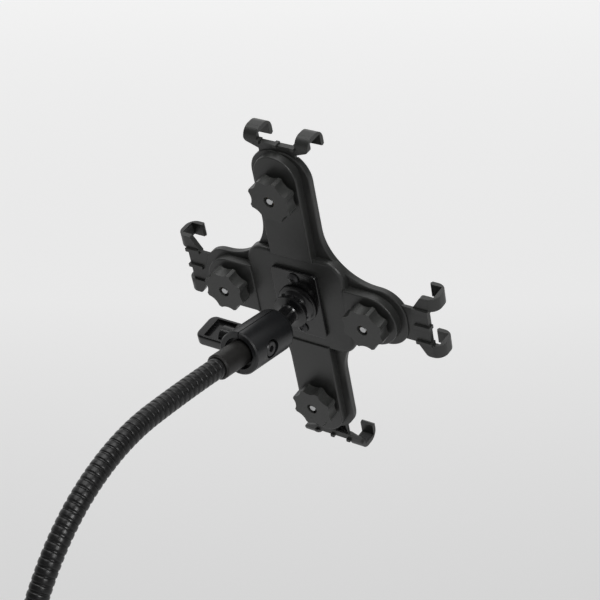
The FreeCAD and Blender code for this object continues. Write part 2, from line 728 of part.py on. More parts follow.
def arm_outline(sketch, inset="0"):
    """The cross that the front plate and rear cover share, drawn in from its edge by an inset."""
    half = "(arm_half_width - %s)" % inset
    web = "(%s + %s)" % (WEB_RADIUS, inset)
    corner = "(arm_corner_radius - %s)" % inset
    long_end = "(%s - %s)" % (ARM_REACH["long"], inset)
    short_end = "(%s - %s)" % (ARM_REACH["short"], inset)
    web_end = "(arm_half_width + %s)" % WEB_RADIUS
    web_middle = "(%s - %s * cos(45))" % (web_end, web)
    bend = "%s * (1 - cos(45))" % corner
    quarter = [
        (short_end, "%s - %s" % (half, corner), "%s - %s" % (short_end, bend), "%s - %s" % (half, bend)),
        ("%s - %s" % (short_end, corner), half),
        (web_end, half, web_middle, web_middle), (half, web_end),
        (half, "%s - %s" % (long_end, corner), "%s - %s" % (half, bend), "%s - %s" % (long_end, bend)),
        ("%s - %s" % (half, corner), long_end)]
    corners = list(quarter)
    for sign_x, sign_y, back in (("-", "", True), ("-", "-", False), ("", "-", True)):
        mirrored = []
        for item in quarter:
            mirrored.append(tuple("%s(%s)" % (sign_x if index % 2 == 0 else sign_y, text)
                                  for index, text in enumerate(item)))
        corners += flipped(mirrored) if back else mirrored
    return outline(sketch, corners)


def flipped(corners):
    """The same stretch of outline walked the other way, its arcs kept."""
    turned_back = []
    for index in range(len(corners) - 1, -1, -1):
        place = corners[index][:2]
        arc = corners[index - 1][2:] if index else ()
        turned_back.append(place + arc)
    return turned_back


def tongue(sketch, half_width, start, reach, angle):
    """A strip with a round outer end, running out along one arm."""
    across = Vector(round(math.cos(math.radians(angle))), round(math.sin(math.radians(angle))), 0)
    out = Vector(-across.y, across.x, 0)

    def place(side, distance):
        return ("(%s) * %d + (%s) * %d" % (side, across.x, distance, out.x),
                "(%s) * %d + (%s) * %d" % (side, across.y, distance, out.y))

    shoulder = "%s - %s" % (reach, half_width)
    return outline(sketch, [
        place("-" + half_width, start), place(half_width, start),
        place(half_width, shoulder) + place("0", reach), place("-" + half_width, shoulder)])


def arm_bolt_places():
    """Bolt centres and turns for the top, left, bottom and right arms."""
    for angle, reach in zip(QUARTERS, ("long", "short", "long", "short")):
        yield angle, reach, BOLT_REACH[reach]


def bolt_place(angle, reach):
    """Formula pair for a point at a reach along the arm at an angle from the top one."""
    x_side = {0: 0, 90: -1, 180: 0, 270: 1}[angle]
    y_side = {0: 1, 90: 0, 180: -1, 270: 0}[angle]
    return "%s * %d" % (reach, x_side), "%s * %d" % (reach, y_side)


def cut_channels(body, bottom, depth):
    """The crossed channels that the claws' blades slide in, cut upwards from one height."""
    half = "(blade_width / 2 + side_gap)"
    for reach_x, reach_y in ((half, "(%s + 1)" % ARM_REACH["long"]),
                             ("(%s + 1)" % ARM_REACH["short"], half)):
        pocket(body, rectangle(new_sketch(body, lift=bottom), "-" + reach_x, "-" + reach_y,
                               reach_x, reach_y), depth, Reversed=True)


def make_rear_cover():
    cover = sub_part("rear_cover", holder_frame)
    pad(cover, arm_outline(new_sketch(cover, lift=PLATE_TOP)), "%s - %s" % (FLANGE_TOP, PLATE_TOP))
    soften(cover, "Chamfer", "edge_chamfer", edges_at_height(FLANGE_TOP))
    hub = new_sketch(cover, lift=PLATE_TOP)
    rounded_rectangle(hub, "hub_width / 2", "hub_width / 2", "hub_corner_radius")
    pad(cover, hub, "%s - %s" % (HUB_TOP, PLATE_TOP))
    soften(cover, "Fillet", "hub_rounding", edges_at_height(HUB_TOP))
    start = "(hub_width / 2 - 2)"
    for angle, reach, bolt_reach in arm_bolt_places():
        half = "%s_tongue_half_width" % reach
        tip = "(%s - 0.6)" % ARM_REACH["long"] if reach == "long" else "(%s + %s)" % (bolt_reach, half)
        strip = tongue(new_sketch(cover, lift=PLATE_TOP), half, start, tip, angle)
        pad(cover, strip, "%s - %s" % (TONGUE_TOP, PLATE_TOP))
    soften(cover, "Fillet", "tongue_rounding", edges_at_height(TONGUE_TOP))

    cut_channels(cover, PLATE_TOP, "%s - %s" % (CHANNEL_TOP, PLATE_TOP))
    for angle, reach, bolt_reach in arm_bolt_places():
        half = "%s_tongue_half_width" % reach
        hollow = new_sketch(cover, lift=CHANNEL_TOP)
        tip = "(%s + hollow_width / 2 + 3)" % bolt_reach
        tongue(hollow, "hollow_width / 2", "(hub_width / 2 + 3)", tip, angle)
        circle(hollow, "bolt_boss_diameter", *bolt_place(angle, bolt_reach))
        pocket(cover, hollow, "%s - %s - tongue_roof" % (TONGUE_TOP, CHANNEL_TOP), Reversed=True)
        hole = circle(new_sketch(cover, lift=PLATE_TOP), "arm_bolt_diameter + 2 * hole_gap",
                      *bolt_place(angle, bolt_reach))
        pocket(cover, hole, Reversed=True)
    holes = new_sketch(cover, lift=PLATE_TOP)
    circle(holes, "spigot_diameter + 2 * hole_gap")
    circle(holes, "plate_screw_diameter + 2 * hole_gap", "0", "plate_screw_offset")
    circle(holes, "plate_screw_diameter + 2 * hole_gap", "0", "-plate_screw_offset")
    pocket(cover, holes, Reversed=True)
    screws = new_sketch(cover, lift=PLATE_TOP)
    for side_x in ("", "-"):
        for side_y in ("", "-"):
            circle(screws, "case_screw_diameter + 2 * thread_gap", side_x + "case_screw_offset",
                   side_y + "case_screw_offset")
    pocket(cover, screws, "case_screw_length - front_plate_thickness + 0.4", Reversed=True)


def make_front_plate():
    plate = sub_part("front_plate", holder_frame)
    pad(plate, arm_outline(new_sketch(plate, lift=PLATE_BOTTOM)), "front_plate_thickness")
    soften(plate, "Chamfer", "edge_chamfer", edges_at_height(PLATE_BOTTOM))
    cut_channels(plate, BLADE_FLOOR, "front_plate_thickness - channel_floor")
    half = "(blade_width / 2 + side_gap)"
    end = ARM_REACH["long"]
    for side in ("", "-"):
        relief = rectangle(new_sketch(plate, lift=PLATE_BOTTOM), "-" + half,
                           side + "(%s - claw_relief)" % end, half, side + "(%s + 1)" % end)
        pocket(plate, relief, Reversed=True)
    holes = new_sketch(plate, lift=PLATE_BOTTOM)
    for angle, reach, bolt_reach in arm_bolt_places():
        circle(holes, "arm_bolt_diameter + 2 * hole_gap", *bolt_place(angle, bolt_reach))
    pocket(plate, holes, Reversed=True)
    screws = new_sketch(plate, lift=PLATE_BOTTOM)
    heads = new_sketch(plate, lift=PLATE_BOTTOM)
    for side_x in ("", "-"):
        for side_y in ("", "-"):
            place = (side_x + "case_screw_offset", side_y + "case_screw_offset")
            circle(screws, "case_screw_diameter + 2 * hole_gap", *place)
            circle(heads, "case_screw_head + 2 * hole_gap", *place)
    pocket(plate, screws, Reversed=True)
    pocket(plate, heads, "front_plate_thickness / 2", Reversed=True)

    head_top = "(%s + front_plate_thickness / 2)" % PLATE_BOTTOM
    end = "(%s + case_screw_length)" % PLATE_BOTTOM
    screw = turned("case_screw_pattern", [
        ("0", PLATE_BOTTOM + " + 0.1"), ("case_screw_head / 2", PLATE_BOTTOM + " + 0.1"),
        ("case_screw_head / 2", head_top), ("case_screw_diameter / 2", head_top),
        ("case_screw_diameter / 2", end), ("0", end)])
    reach = number("case_screw_offset")
    group("case_screws", screw, [holder_frame.multiply(Placement(Vector(x, y, 0), Rotation()))
                                 for x in (-reach, reach) for y in (-reach, reach)])


def make_back_rests():
    """Rubber pads between the front plate and the tablet's back."""
    pad_body = sub_part("pad_pattern")
    sketch = rounded_rectangle(new_sketch(pad_body, lift="tablet_thickness"), "back_rest_length / 2",
                               "back_rest_width / 2", "back_rest_corner")
    pad(pad_body, sketch, "pad_thickness")
    places = []
    for angle, reach, bolt_reach in arm_bolt_places():
        distance = number("%s - back_rest_inset" % ARM_REACH[reach])
        places.append(holder_frame.multiply(Placement(Vector(), Rotation(Z_AXIS, angle)).multiply(
            Placement(Vector(0, distance, 0), Rotation()))))
    group("back_rests", pad_body, places)


def make_arm_fasteners():
    """Carriage bolts through the arms, and the washers under the star knobs."""
    head = "(%s - arm_bolt_head_height)" % PLATE_BOTTOM
    end = "(%s - bolt_end_sink)" % KNOB_TOP
    bolt = turned("arm_bolt_pattern", [
        ("0", head), ("arm_bolt_head / 2", head), ("arm_bolt_head / 2", PLATE_BOTTOM),
        ("arm_bolt_diameter / 2", PLATE_BOTTOM), ("arm_bolt_diameter / 2", end + " - 0.5"),
        ("arm_bolt_diameter / 2 - 0.5", end), ("0", end)])
    ring = washer("arm_washer_pattern", None, "washer_diameter", "(arm_bolt_diameter + 0.4)",
                  TONGUE_TOP, "washer_thickness")
    places = [holder_frame.multiply(Placement(Vector(), Rotation(Z_AXIS, angle)).multiply(
        Placement(Vector(0, number(bolt_reach), 0), Rotation())))
        for angle, reach, bolt_reach in arm_bolt_places()]
    group("arm_bolts", bolt, places)
    group("arm_washers", ring, places)
    for name, place in zip(("top", "left", "bottom", "right"), places):
        knob_frame = place.multiply(Placement(Vector(0, 0, number(KNOB_SEAT)), Rotation()))
        star_knob(name + "_knob", knob_frame, (
            "knob_diameter", "knob_height", "knob_foot_diameter", "knob_foot_height",
            "knob_scallop_diameter", "knob_scallop_depth", "knob_insert_diameter"))
        turned(name + "_knob_insert", [
            ("arm_bolt_diameter / 2 + thread_gap", "0"),
            ("knob_insert_diameter / 2 - thread_gap", "0"),
            ("knob_insert_diameter / 2 - thread_gap", "knob_foot_height + knob_height - knob_well_depth - 1.2"),
            ("arm_bolt_diameter / 2 + thread_gap", "knob_foot_height + knob_height - knob_well_depth - 1.2")],
            knob_frame)


def hook_outline(sketch, edge):
    """The C of one hook, seen along the tablet's edge: y runs outwards and z out of the back."""
    inner = "(%s + claw_lining_thickness)" % edge
    outer = "(%s + hook_wall)" % inner
    back = "(%s - slide_gap)" % PLATE_BOTTOM
    back_top = "(%s + claw_bar_thickness)" % back
    tip_back = "(-hook_tip_gap)"
    tip_front = "(-hook_tip_gap - hook_wall)"
    tip = "(%s - hook_tip_reach)" % edge
    root = "(%s - claw_bar_inset - 1)" % edge
    bend = "hook_radius * (1 - cos(45))"
    return outline(sketch, [
        (root, back), (inner, back), (inner, tip_back), (tip + " + 0.8", tip_back),
        (tip, "(%s + %s) / 2" % (tip_back, tip_front)), (tip + " + 0.8", tip_front),
        (outer + " - hook_radius", tip_front, "%s - %s" % (outer, bend), "%s + %s" % (tip_front, bend)),
        (outer, tip_front + " + hook_radius"),
        (outer, back_top + " - hook_radius", "%s - %s" % (outer, bend), "%s - %s" % (back_top, bend)),
        (outer + " - hook_radius", back_top), (root, back_top)])


def make_claws():
    """Four equal-headed claws. Each slides in its arm and hooks over one edge of the tablet."""
    half_height = "tablet_height / 2"
    claws = (("top", 0, "long", half_height + " - hub_rise"), ("left", 90, "short", "tablet_width / 2"),
             ("bottom", 180, "long", half_height + " + hub_rise"), ("right", 270, "short", "tablet_width / 2"))
    for name, angle, reach, edge_text in claws:
        edge = "(%s)" % edge_text
        frame = holder_frame.multiply(Placement(Vector(), Rotation(Z_AXIS, angle)))
        claw = sub_part(name + "_claw", frame)
        bar_end = "(%s - claw_bar_inset)" % edge
        bar_start = "(%s - %s_flare_start)" % (edge, reach)
        flare_end = "(%s - %s_flare_end)" % (edge, reach)
        half_head = "(hook_spacing / 2 + hook_width / 2)"
        bolt = BOLT_REACH[reach]
        blade_start = "(%s - %s_travel_out - arm_bolt_diameter / 2 - slot_gap - blade_tail)" % (bolt, reach)
        back = "(%s - slide_gap)" % PLATE_BOTTOM
        pad(claw, rectangle(new_sketch(claw, lift=BLADE_FLOOR + " + slide_gap"), "-blade_width / 2",
                            blade_start, "blade_width / 2", bar_end), "blade_thickness")
        head = [("-blade_width / 2", bar_start), ("blade_width / 2", bar_start), (half_head, flare_end),
                (half_head, bar_end), ("-" + half_head, bar_end), ("-" + half_head, flare_end)]
        pad(claw, outline(new_sketch(claw, lift=back), head), "claw_bar_thickness")
        for side in ("hook_spacing / 2 - hook_width / 2", "-hook_spacing / 2 - hook_width / 2"):
            pad(claw, hook_outline(new_sketch(claw, "YZ_Plane", side), edge), "hook_width")
        corner_x = number(half_head)
        corner_y = number(flare_end)
        soften(claw, "Fillet", "claw_corner_radius",
               lambda edge: edge.BoundBox.DiagonalLength < 3.7 and edge.BoundBox.ZLength > 3.5
               and abs(abs(edge.BoundBox.XMin) - corner_x) < 0.01
               and abs(edge.BoundBox.YMin - corner_y) < 0.01)
        rib_start = "(%s - %s_rib_start)" % (edge, reach)
        for middle in ("-claw_rib_spacing", "0", "claw_rib_spacing"):
            rib = rectangle(new_sketch(claw, lift=back), "%s - claw_rib_width / 2" % middle, rib_start,
                            "%s + claw_rib_width / 2" % middle, bar_end + " + claw_rib_overhang")
            pad(claw, rib, "claw_bar_thickness + claw_rib_height")
        half_slot = "(arm_bolt_diameter / 2 + slot_gap)"
        travel_in = "long_travel_in" if reach == "long" else "short_travel_in"
        slot_start = "(%s - %s_travel_out)" % (bolt, reach)
        slot_end = "(%s + %s)" % (bolt, travel_in)
        slot = outline(new_sketch(claw, lift=BLADE_FLOOR), [
            ("-" + half_slot, slot_start, "0", "%s - %s" % (slot_start, half_slot)),
            (half_slot, slot_start), (half_slot, slot_end, "0", "%s + %s" % (slot_end, half_slot)),
            ("-" + half_slot, slot_end)])
        pocket(claw, slot, "blade_thickness + 2 * slide_gap", Reversed=True)

        cushion = sub_part("claw_lining_pattern")
        inner = "(%s + claw_lining_thickness)" % edge
        pad(cushion, rectangle(new_sketch(cushion, lift="claw_lining_margin"), "-claw_lining_width / 2", edge,
                               "claw_lining_width / 2", inner), "tablet_thickness - 2 * claw_lining_margin")
        offset = number("hook_spacing / 2")
        group(name + "_claw_linings", cushion, [frame.multiply(Placement(Vector(side, 0, 0), Rotation()))
                                             for side in (-offset, offset)])


def make_stud():
    plate = sub_part("stud_plate", holder_frame)
    sketch = rounded_rectangle(new_sketch(plate, lift=HUB_TOP), "stud_plate_width / 2",
                               "stud_plate_height / 2", "stud_plate_corner")
    circle(sketch, "spigot_diameter + 2 * hole_gap")
    circle(sketch, "plate_screw_diameter + 2 * hole_gap", "0", "plate_screw_offset")
    circle(sketch, "plate_screw_diameter + 2 * hole_gap", "0", "-plate_screw_offset")
    pad(plate, sketch, "stud_plate_thickness")
    soften(plate, "Fillet", "edge_chamfer", edges_at_height(STUD_SEAT, number("stud_plate_width / 2 - 2")))

    end = "(%s + plate_screw_head_height)" % STUD_SEAT
    screw = sub_part("plate_screw_pattern")
    turn(screw, [
        ("0", NUT_BOTTOM), ("plate_screw_diameter / 2", NUT_BOTTOM),
        ("plate_screw_diameter / 2", STUD_SEAT), ("plate_screw_head / 2", STUD_SEAT),
        ("plate_screw_head / 2", STUD_SEAT + " + 0.6", "plate_screw_head / 2 * 0.8", end + " - 0.7"),
        ("plate_screw_head / 4", end), ("0", end)])
    for half_x, half_y in (("0.5", "2.2"), ("2.2", "0.5")):
        pocket(screw, rectangle(new_sketch(screw, lift=end), "-" + half_x, "-" + half_y, half_x, half_y),
               "1.2")
    ring = nut("plate_nut_pattern", None, "plate_nut_flats", "(plate_screw_diameter + 2 * thread_gap)",
               NUT_BOTTOM, "nut_thickness")
    places = [holder_frame.multiply(Placement(Vector(0, side * number("plate_screw_offset"), 0),
                                              Rotation())) for side in (-1, 1)]
    group("plate_screws", screw, places)
    group("plate_nuts", ring, places)
    nut("stud_nut", holder_frame, "stud_nut_flats", "(spigot_diameter + 2 * thread_gap)", NUT_BOTTOM,
        "nut_thickness")

    waist = "(%s + stud_waist_height)" % STUD_SEAT
    collar = "(%s + stud_collar_height)" % STUD_SEAT
    core = "ball_core_diameter / 2"
    neck = "stud_neck_diameter / 2"
    joint = "(%s - sqrt((%s) * (%s) - (%s) * (%s)))" % (BALL_CENTRE, core, core, neck, neck)
    turned("ball_stud", [
        ("0", NUT_BOTTOM), ("spigot_diameter / 2", NUT_BOTTOM), ("spigot_diameter / 2", STUD_SEAT),
        ("stud_base_diameter / 2", STUD_SEAT), ("stud_base_diameter / 2", STUD_SEAT + " + stud_base_height"),
        ("stud_waist_diameter / 2 + 0.6", waist + " - 1", "stud_waist_diameter / 2", waist),
        ("stud_waist_diameter / 2 + 0.3", waist + " + 1"),
        ("stud_collar_diameter / 2", collar + " - 1"),
        ("stud_collar_diameter / 2", collar), ("stud_collar_diameter / 2 - 1.4", collar + " + 0.4"),
        (neck + " + 0.6", collar + " + stud_collar_lip"), (neck, collar + " + stud_collar_lip + 1"),
        (neck, joint, core, BALL_CENTRE), ("0", "%s + %s" % (BALL_CENTRE, core))], holder_frame)


def make_ball():
    outer = "ball_diameter / 2"
    inner = "(ball_core_diameter / 2 + core_gap)"
    mouth = "(stud_neck_diameter / 2 + 0.3)"
    outer_drop = "sqrt((%s) * (%s) - %s * %s)" % (outer, outer, mouth, mouth)
    inner_drop = "sqrt(%s * %s - %s * %s)" % (inner, inner, mouth, mouth)
    ball_frame = holder_frame.multiply(Placement(Vector(0, 0, number(BALL_CENTRE)), Rotation()))
    turned("swivel_ball", [
        (mouth, "-" + outer_drop, outer, "0"), ("0", outer), ("0", inner, inner, "0"),
        (mouth, "-" + inner_drop)], ball_frame)


def make_barrel():
    socket = "(ball_diameter / 2 + ball_gap)"
    mouth_radius = "sqrt(%s * %s - barrel_mouth * barrel_mouth)" % (socket, socket)
    outer = "barrel_diameter / 2"
    post = "(post_neck_diameter / 2 + hole_gap)"
    groove = "(post_flange_diameter / 2 + post_gap)"
    hollow = "barrel_hollow_diameter / 2"
    socket_depth = "sqrt(%s * %s - %s * %s)" % (socket, socket, hollow, hollow)
    bend = "barrel_rounding * (1 - cos(45))"
    profile = [
        (mouth_radius, "-barrel_mouth", socket, "0"), (hollow, socket_depth),
        (hollow, GROOVE_START), (groove, GROOVE_START), (groove, GROOVE_END),
        (post, GROOVE_END), (post, RECESS_FLOOR), ("recess_diameter / 2", RECESS_FLOOR),
        ("recess_diameter / 2", BARREL_END), (outer + " - barrel_edge", BARREL_END),
        (outer, BARREL_END + " - barrel_edge"),
        (outer, "barrel_rounding - barrel_mouth", "%s - %s" % (outer, bend), "%s - barrel_mouth" % bend),
        (outer + " - barrel_rounding", "-barrel_mouth")]
    bolt = "clamp_bolt_position"
    for name, side in (("barrel_right", 1), ("barrel_left", -1)):
        half = sub_part(name, barrel_frame)
        turn(half, profile)
        away = new_sketch(half, "YZ_Plane", "barrel_split * %d" % side)
        rectangle(away, "-barrel_diameter", "-barrel_mouth - 1", "barrel_diameter", "barrel_length")
        pocket(half, away, Reversed=side < 0)
        hole = circle(new_sketch(half, "YZ_Plane"), "clamp_bolt_diameter + 2 * hole_gap", "0", bolt)
        pocket(half, hole, Reversed=side > 0)
        if side > 0:
            seat = circle(new_sketch(half, "YZ_Plane", "head_recess_floor"), "head_recess_diameter", "0", bolt)
        else:
            seat = circle(new_sketch(half, "YZ_Plane", "-wing_seat"), "wing_seat_diameter", "0", bolt)
        pocket(half, seat, Reversed=side > 0)

    bolt_frame = barrel_frame.multiply(Placement(
        Vector(number("head_recess_floor + clamp_head_height"), 0, number(bolt)), Rotation(Y_AXIS, -90)))
    clamp_bolt = sub_part("clamp_bolt", bolt_frame)
    end = "(head_recess_floor + clamp_head_height + wing_seat + wing_insert_length)"
    turn(clamp_bolt, [
        ("0", "0"), ("clamp_head_diameter / 2 - edge_chamfer", "0"), ("clamp_head_diameter / 2", "edge_chamfer"),
        ("clamp_head_diameter / 2", "clamp_head_height"), ("clamp_bolt_diameter / 2", "clamp_head_height"),
        ("clamp_bolt_diameter / 2", end), ("0", end)])
    pocket(clamp_bolt, hexagon(new_sketch(clamp_bolt), "clamp_key_flats"), "clamp_key_depth", Reversed=True)

    wing_frame = barrel_frame.multiply(Placement(
        Vector(-number("wing_seat + slide_gap"), 0, number(bolt)), Rotation(Y_AXIS, -90)))
    wing_frame = wing_frame.multiply(Placement(Vector(), Rotation(Z_AXIS, -number("wing_angle"))))
    wing = sub_part("wing_knob", wing_frame)
    half = "wing_span / 2"
    shoulder = "(wing_height - wing_corner_radius)"
    cheek = "(%s - wing_corner_radius)" % half
    bend = "wing_corner_radius * (1 - cos(45))"
    blade = outline(new_sketch(wing, "XZ_Plane"), [
        ("-" + half, "wing_blade_start"), (half, "wing_blade_start"),
        (half, shoulder, "%s - %s" % (half, bend), "wing_height - " + bend), (cheek, "wing_height"),
        ("-" + cheek, "wing_height", "-(%s - %s)" % (half, bend), "wing_height - " + bend),
        ("-" + half, shoulder)])
    pad(wing, blade, "wing_thickness", Midplane=True)
    blade_start = number("wing_blade_start + 0.1")
    soften(wing, "Fillet", "wing_rounding",
           lambda edge: edge.BoundBox.ZMax > blade_start and edge.BoundBox.YLength < 0.01
           and abs(edge.BoundBox.YMin) > number("wing_thickness / 2") - 0.01)
    for face, inwards in (("wing_thickness / 2", False), ("-wing_thickness / 2", True)):
        hollow = new_sketch(wing, "XZ_Plane", face)
        rectangle(hollow, "-wing_hollow_width / 2", "wing_hollow_start", "wing_hollow_width / 2",
                  "wing_hollow_end")
        pocket(wing, hollow, "wing_hollow_depth", Reversed=inwards)
    pad(wing, circle(new_sketch(wing), "wing_foot_diameter"), "wing_foot_height")
    pocket(wing, circle(new_sketch(wing), "wing_insert_diameter + 2 * thread_gap"), "wing_insert_length",
           Reversed=True)
    turned("wing_insert", [
        ("clamp_bolt_diameter / 2 + thread_gap", "0"), ("wing_insert_diameter / 2", "0"),
        ("wing_insert_diameter / 2", "wing_insert_length - 0.2"),
        ("clamp_bolt_diameter / 2 + thread_gap", "wing_insert_length - 0.2")], wing_frame)


# Bendable arm and its two ferrules


def make_ferrules():
    upper = "upper_ferrule_diameter / 2"
    bore = "(neck_end_diameter / 2 + thread_gap)"
    start = "(%s + post_gap)" % GROOVE_START
    flange_end = "(%s + post_flange_thickness)" % start
    shoulder = "(%s + post_gap)" % RECESS_FLOOR
    socket = "(%s - neck_end_depth)" % NECK_END
    turned("upper_ferrule", [
        ("0", start), ("post_flange_diameter / 2", start), ("post_flange_diameter / 2", flange_end),
        ("post_neck_diameter / 2", flange_end), ("post_neck_diameter / 2", shoulder),
        (upper, shoulder), (upper, NECK_END + " - ferrule_rounding"),
        (upper + " - ferrule_rounding", NECK_END), (bore, NECK_END), (bore, socket), ("0", socket)],
        barrel_frame)

    lower = "lower_ferrule_diameter / 2"
    bottom = "(neck_base_height - lower_ferrule_length)"
    turned("lower_ferrule", [
        ("0", bottom + " - lower_stud_length"), ("lower_stud_diameter / 2", bottom + " - lower_stud_length"),
        ("lower_stud_diameter / 2", bottom), (lower, bottom),
        (lower, "neck_base_height - ferrule_rounding * 2"),
        (lower + " - ferrule_rounding * 2", "neck_base_height"), (bore, "neck_base_height"),
        (bore, "neck_base_height - neck_end_depth"), ("0", "neck_base_height - neck_end_depth")])


def neck_path():
    """The arm's centre line as straight runs joined by tangent arcs."""
    edges = []
    for span in neck_spans:
        if span[0] == "line":
            edges.append(Part.LineSegment(span[1], span[2]).toShape())
        else:
            edges.append(Part.Arc(span[1], span[2], span[3]).toShape())
    return Part.Wire(edges)


def point_along(wire, distance):
    """Point and heading at a distance along a wire."""
    for edge in wire.Edges:
        if distance <= edge.Length + 1e-6:
            place = edge.getParameterByLength(min(distance, edge.Length))
            return edge.valueAt(place), edge.tangentAt(place)
        distance -= edge.Length
    raise ValueError("beyond the end of the wire")


def make_neck():
    """Ribbed flexible arm: a ring at each end of every rib's crest and groove, joined by ruled faces."""
    wire = neck_path()
    depth = number("neck_end_depth")
    ribbed = wire.Length - 2 * depth
    run = number("neck_crest_diameter")
    count = int((ribbed - 2 * run) / number("rib_pitch"))
    pitch = (ribbed - 2 * run) / count
    groove = number("neck_groove_diameter / 2")
    crest = number("neck_crest_diameter / 2")
    end = number("neck_end_diameter / 2")
    step = number("rib_end_step")
    stations = [(0.0, end), (depth, end), (depth + step, groove), (depth + run, groove)]
    for index in range(count):
        start = depth + run + index * pitch
        stations += [(start + pitch * 0.10, groove), (start + pitch * 0.28, crest),
                     (start + pitch * 0.82, crest), (start + pitch, groove)]
    last = wire.Length - depth
    stations += [(last - step, groove), (last, end), (wire.Length, end)]

    def steady_ring(distance, radius):
        place, heading = point_along(wire, distance)
        ring = Part.Circle(Vector(), Z_AXIS, radius).toShape()
        ring.Placement = Placement(place, Rotation(X_AXIS, heading.cross(X_AXIS), heading, "ZXY"))
        return Part.Wire(ring)

    body = Part.makeLoft([steady_ring(*station) for station in stations], True, True)
    bore = wire.makePipeShell([steady_ring(0.0, number("neck_bore_diameter / 2"))], True, False)
    neck = body.cut(bore)
    feature = document.addObject("Part::Feature", "gooseneck")
    feature.Label = "gooseneck"
    feature.Shape = neck
    parts.append(feature)
    print("gooseneck length %.1f, %d ribs of %.2f, volume %.0f" % (wire.Length, count, pitch, neck.Volume))
    return wire


make_base()
make_poles()
make_height_clamp()
make_rear_cover()
make_front_plate()
make_back_rests()
make_arm_fasteners()
make_claws()
make_stud()
make_ball()
make_barrel()
make_ferrules()
neck_wire = make_neck()

document.recompute()
for item in document.Objects:
    if {"Invalid", "Error"} & set(item.State):
        raise ValueError("%s failed: %s" % (item.Label, item.State))
os.makedirs("parts", exist_ok=True)
for part in parts:
    shape = part.Shape
    if shape.isNull() or not shape.isValid():
        raise ValueError("bad shape: " + part.Label)
    shape.exportStep("parts/%s.step" % part.Label)

bend_point, bend_heading = point_along(neck_wire, neck_wire.Length / 2)
for name, place in (("ball centre", ball_centre), ("holder origin", holder_frame.Base),
                    ("neck top", neck_top), ("bend pivot", bend_point)):
    print("%s %.3f %.3f %.3f" % (name, place.x, place.y, place.z))
print("%d nodes" % len(parts))
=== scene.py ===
# Tablet floor stand: the knobs, hooks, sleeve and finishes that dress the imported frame.
import json
import math

import bmesh
import bpy
from mathutils import Matrix, Vector


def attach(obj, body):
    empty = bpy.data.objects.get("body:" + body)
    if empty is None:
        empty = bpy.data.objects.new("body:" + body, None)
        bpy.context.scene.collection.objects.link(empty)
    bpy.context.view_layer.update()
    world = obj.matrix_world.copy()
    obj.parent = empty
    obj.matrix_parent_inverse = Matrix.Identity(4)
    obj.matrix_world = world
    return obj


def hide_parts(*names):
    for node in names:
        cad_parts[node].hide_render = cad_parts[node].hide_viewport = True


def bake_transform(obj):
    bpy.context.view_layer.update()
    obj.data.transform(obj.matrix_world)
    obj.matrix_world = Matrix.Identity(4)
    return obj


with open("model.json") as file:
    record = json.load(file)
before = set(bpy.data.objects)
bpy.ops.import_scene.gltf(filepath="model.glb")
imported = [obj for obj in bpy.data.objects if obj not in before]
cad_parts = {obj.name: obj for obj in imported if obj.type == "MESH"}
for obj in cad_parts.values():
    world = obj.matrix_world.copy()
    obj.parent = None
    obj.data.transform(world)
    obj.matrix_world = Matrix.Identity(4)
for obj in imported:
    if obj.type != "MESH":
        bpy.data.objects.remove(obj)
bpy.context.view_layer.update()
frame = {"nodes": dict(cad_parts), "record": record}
nodes = frame["nodes"]
body_of = {node: body for body, members in frame["record"]["behaviour"]["bodies"].items()
           for node in members}
slot_of = {part["node"]: part["material_slot"] for part in frame["record"]["subparts"]}

MM = 0.001
UP = Vector((0, 0, 1))


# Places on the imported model, in millimetres

HOLDER_LEAN = math.radians(16.57)
HOLDER_POINT = Vector((0, -296.672, 1155.904))
BALL_POINT = Vector((0, -248.748, 1141.645))
BARREL_DROP = math.radians(1.2)
LONG_BOLT = 83.5
SHORT_BOLT = 52.0
KNOB_SEAT = 20.8
HEIGHT_KNOB_POINT = Vector((35, 0, 538))
REST_REACH = {"top": 101.0, "left": 66.0, "bottom": 101.0, "right": 66.0}
TABLET_EDGE = {"top": 117.1, "left": 92.85, "bottom": 124.1, "right": 92.85}
TABLET_BACK = 9.0
HOOK_SPACING = 36.6
NUT_SEAT = 11.1
STUD_SEAT = 21.5
BALL_HEIGHT = 50.0
BALL_CORE = 8.0
PLATE_SCREW_REACH = 19.6


def axes(origin, x_axis, z_axis):
    """A frame in millimetres from its origin, x axis and z axis."""
    y_axis = z_axis.cross(x_axis)
    turn = Matrix((x_axis, y_axis, z_axis)).transposed().to_4x4()
    return Matrix.Translation(origin) @ turn


def spin_z(degrees):
    return Matrix.Rotation(math.radians(degrees), 4, "Z")


holder = axes(HOLDER_POINT, Vector((-1, 0, 0)),
              Vector((0, math.cos(HOLDER_LEAN), -math.sin(HOLDER_LEAN))))
barrel = axes(BALL_POINT, Vector((-1, 0, 0)),
              Vector((0, math.cos(BARREL_DROP), -math.sin(BARREL_DROP))))
arms = {"top": (0, LONG_BOLT), "left": (90, SHORT_BOLT), "bottom": (180, LONG_BOLT),
        "right": (270, SHORT_BOLT)}


# Hand tools

SAME_POINT = 0.002
SAME_PLANE = 0.4


def deselect():
    if bpy.context.object and bpy.context.object.mode != "OBJECT":
        bpy.ops.object.mode_set(mode="OBJECT")
    bpy.ops.object.select_all(action="DESELECT")


def activate(piece):
    deselect()
    piece.select_set(True)
    bpy.context.view_layer.objects.active = piece


def edit(piece):
    activate(piece)
    bpy.ops.object.mode_set(mode="EDIT")


def pick(kind, wanted):
    """Select, in edit mode, only the corners, edges or faces that a test picks."""
    bpy.ops.mesh.select_mode(type=kind)
    bpy.ops.mesh.select_all(action="DESELECT")
    mesh = bmesh.from_edit_mesh(bpy.context.object.data)
    group = {"VERT": mesh.verts, "EDGE": mesh.edges, "FACE": mesh.faces}[kind]
    for item in group:
        if wanted(item):
            item.select_set(True)
    mesh.select_flush_mode()
    bmesh.update_edit_mesh(bpy.context.object.data)


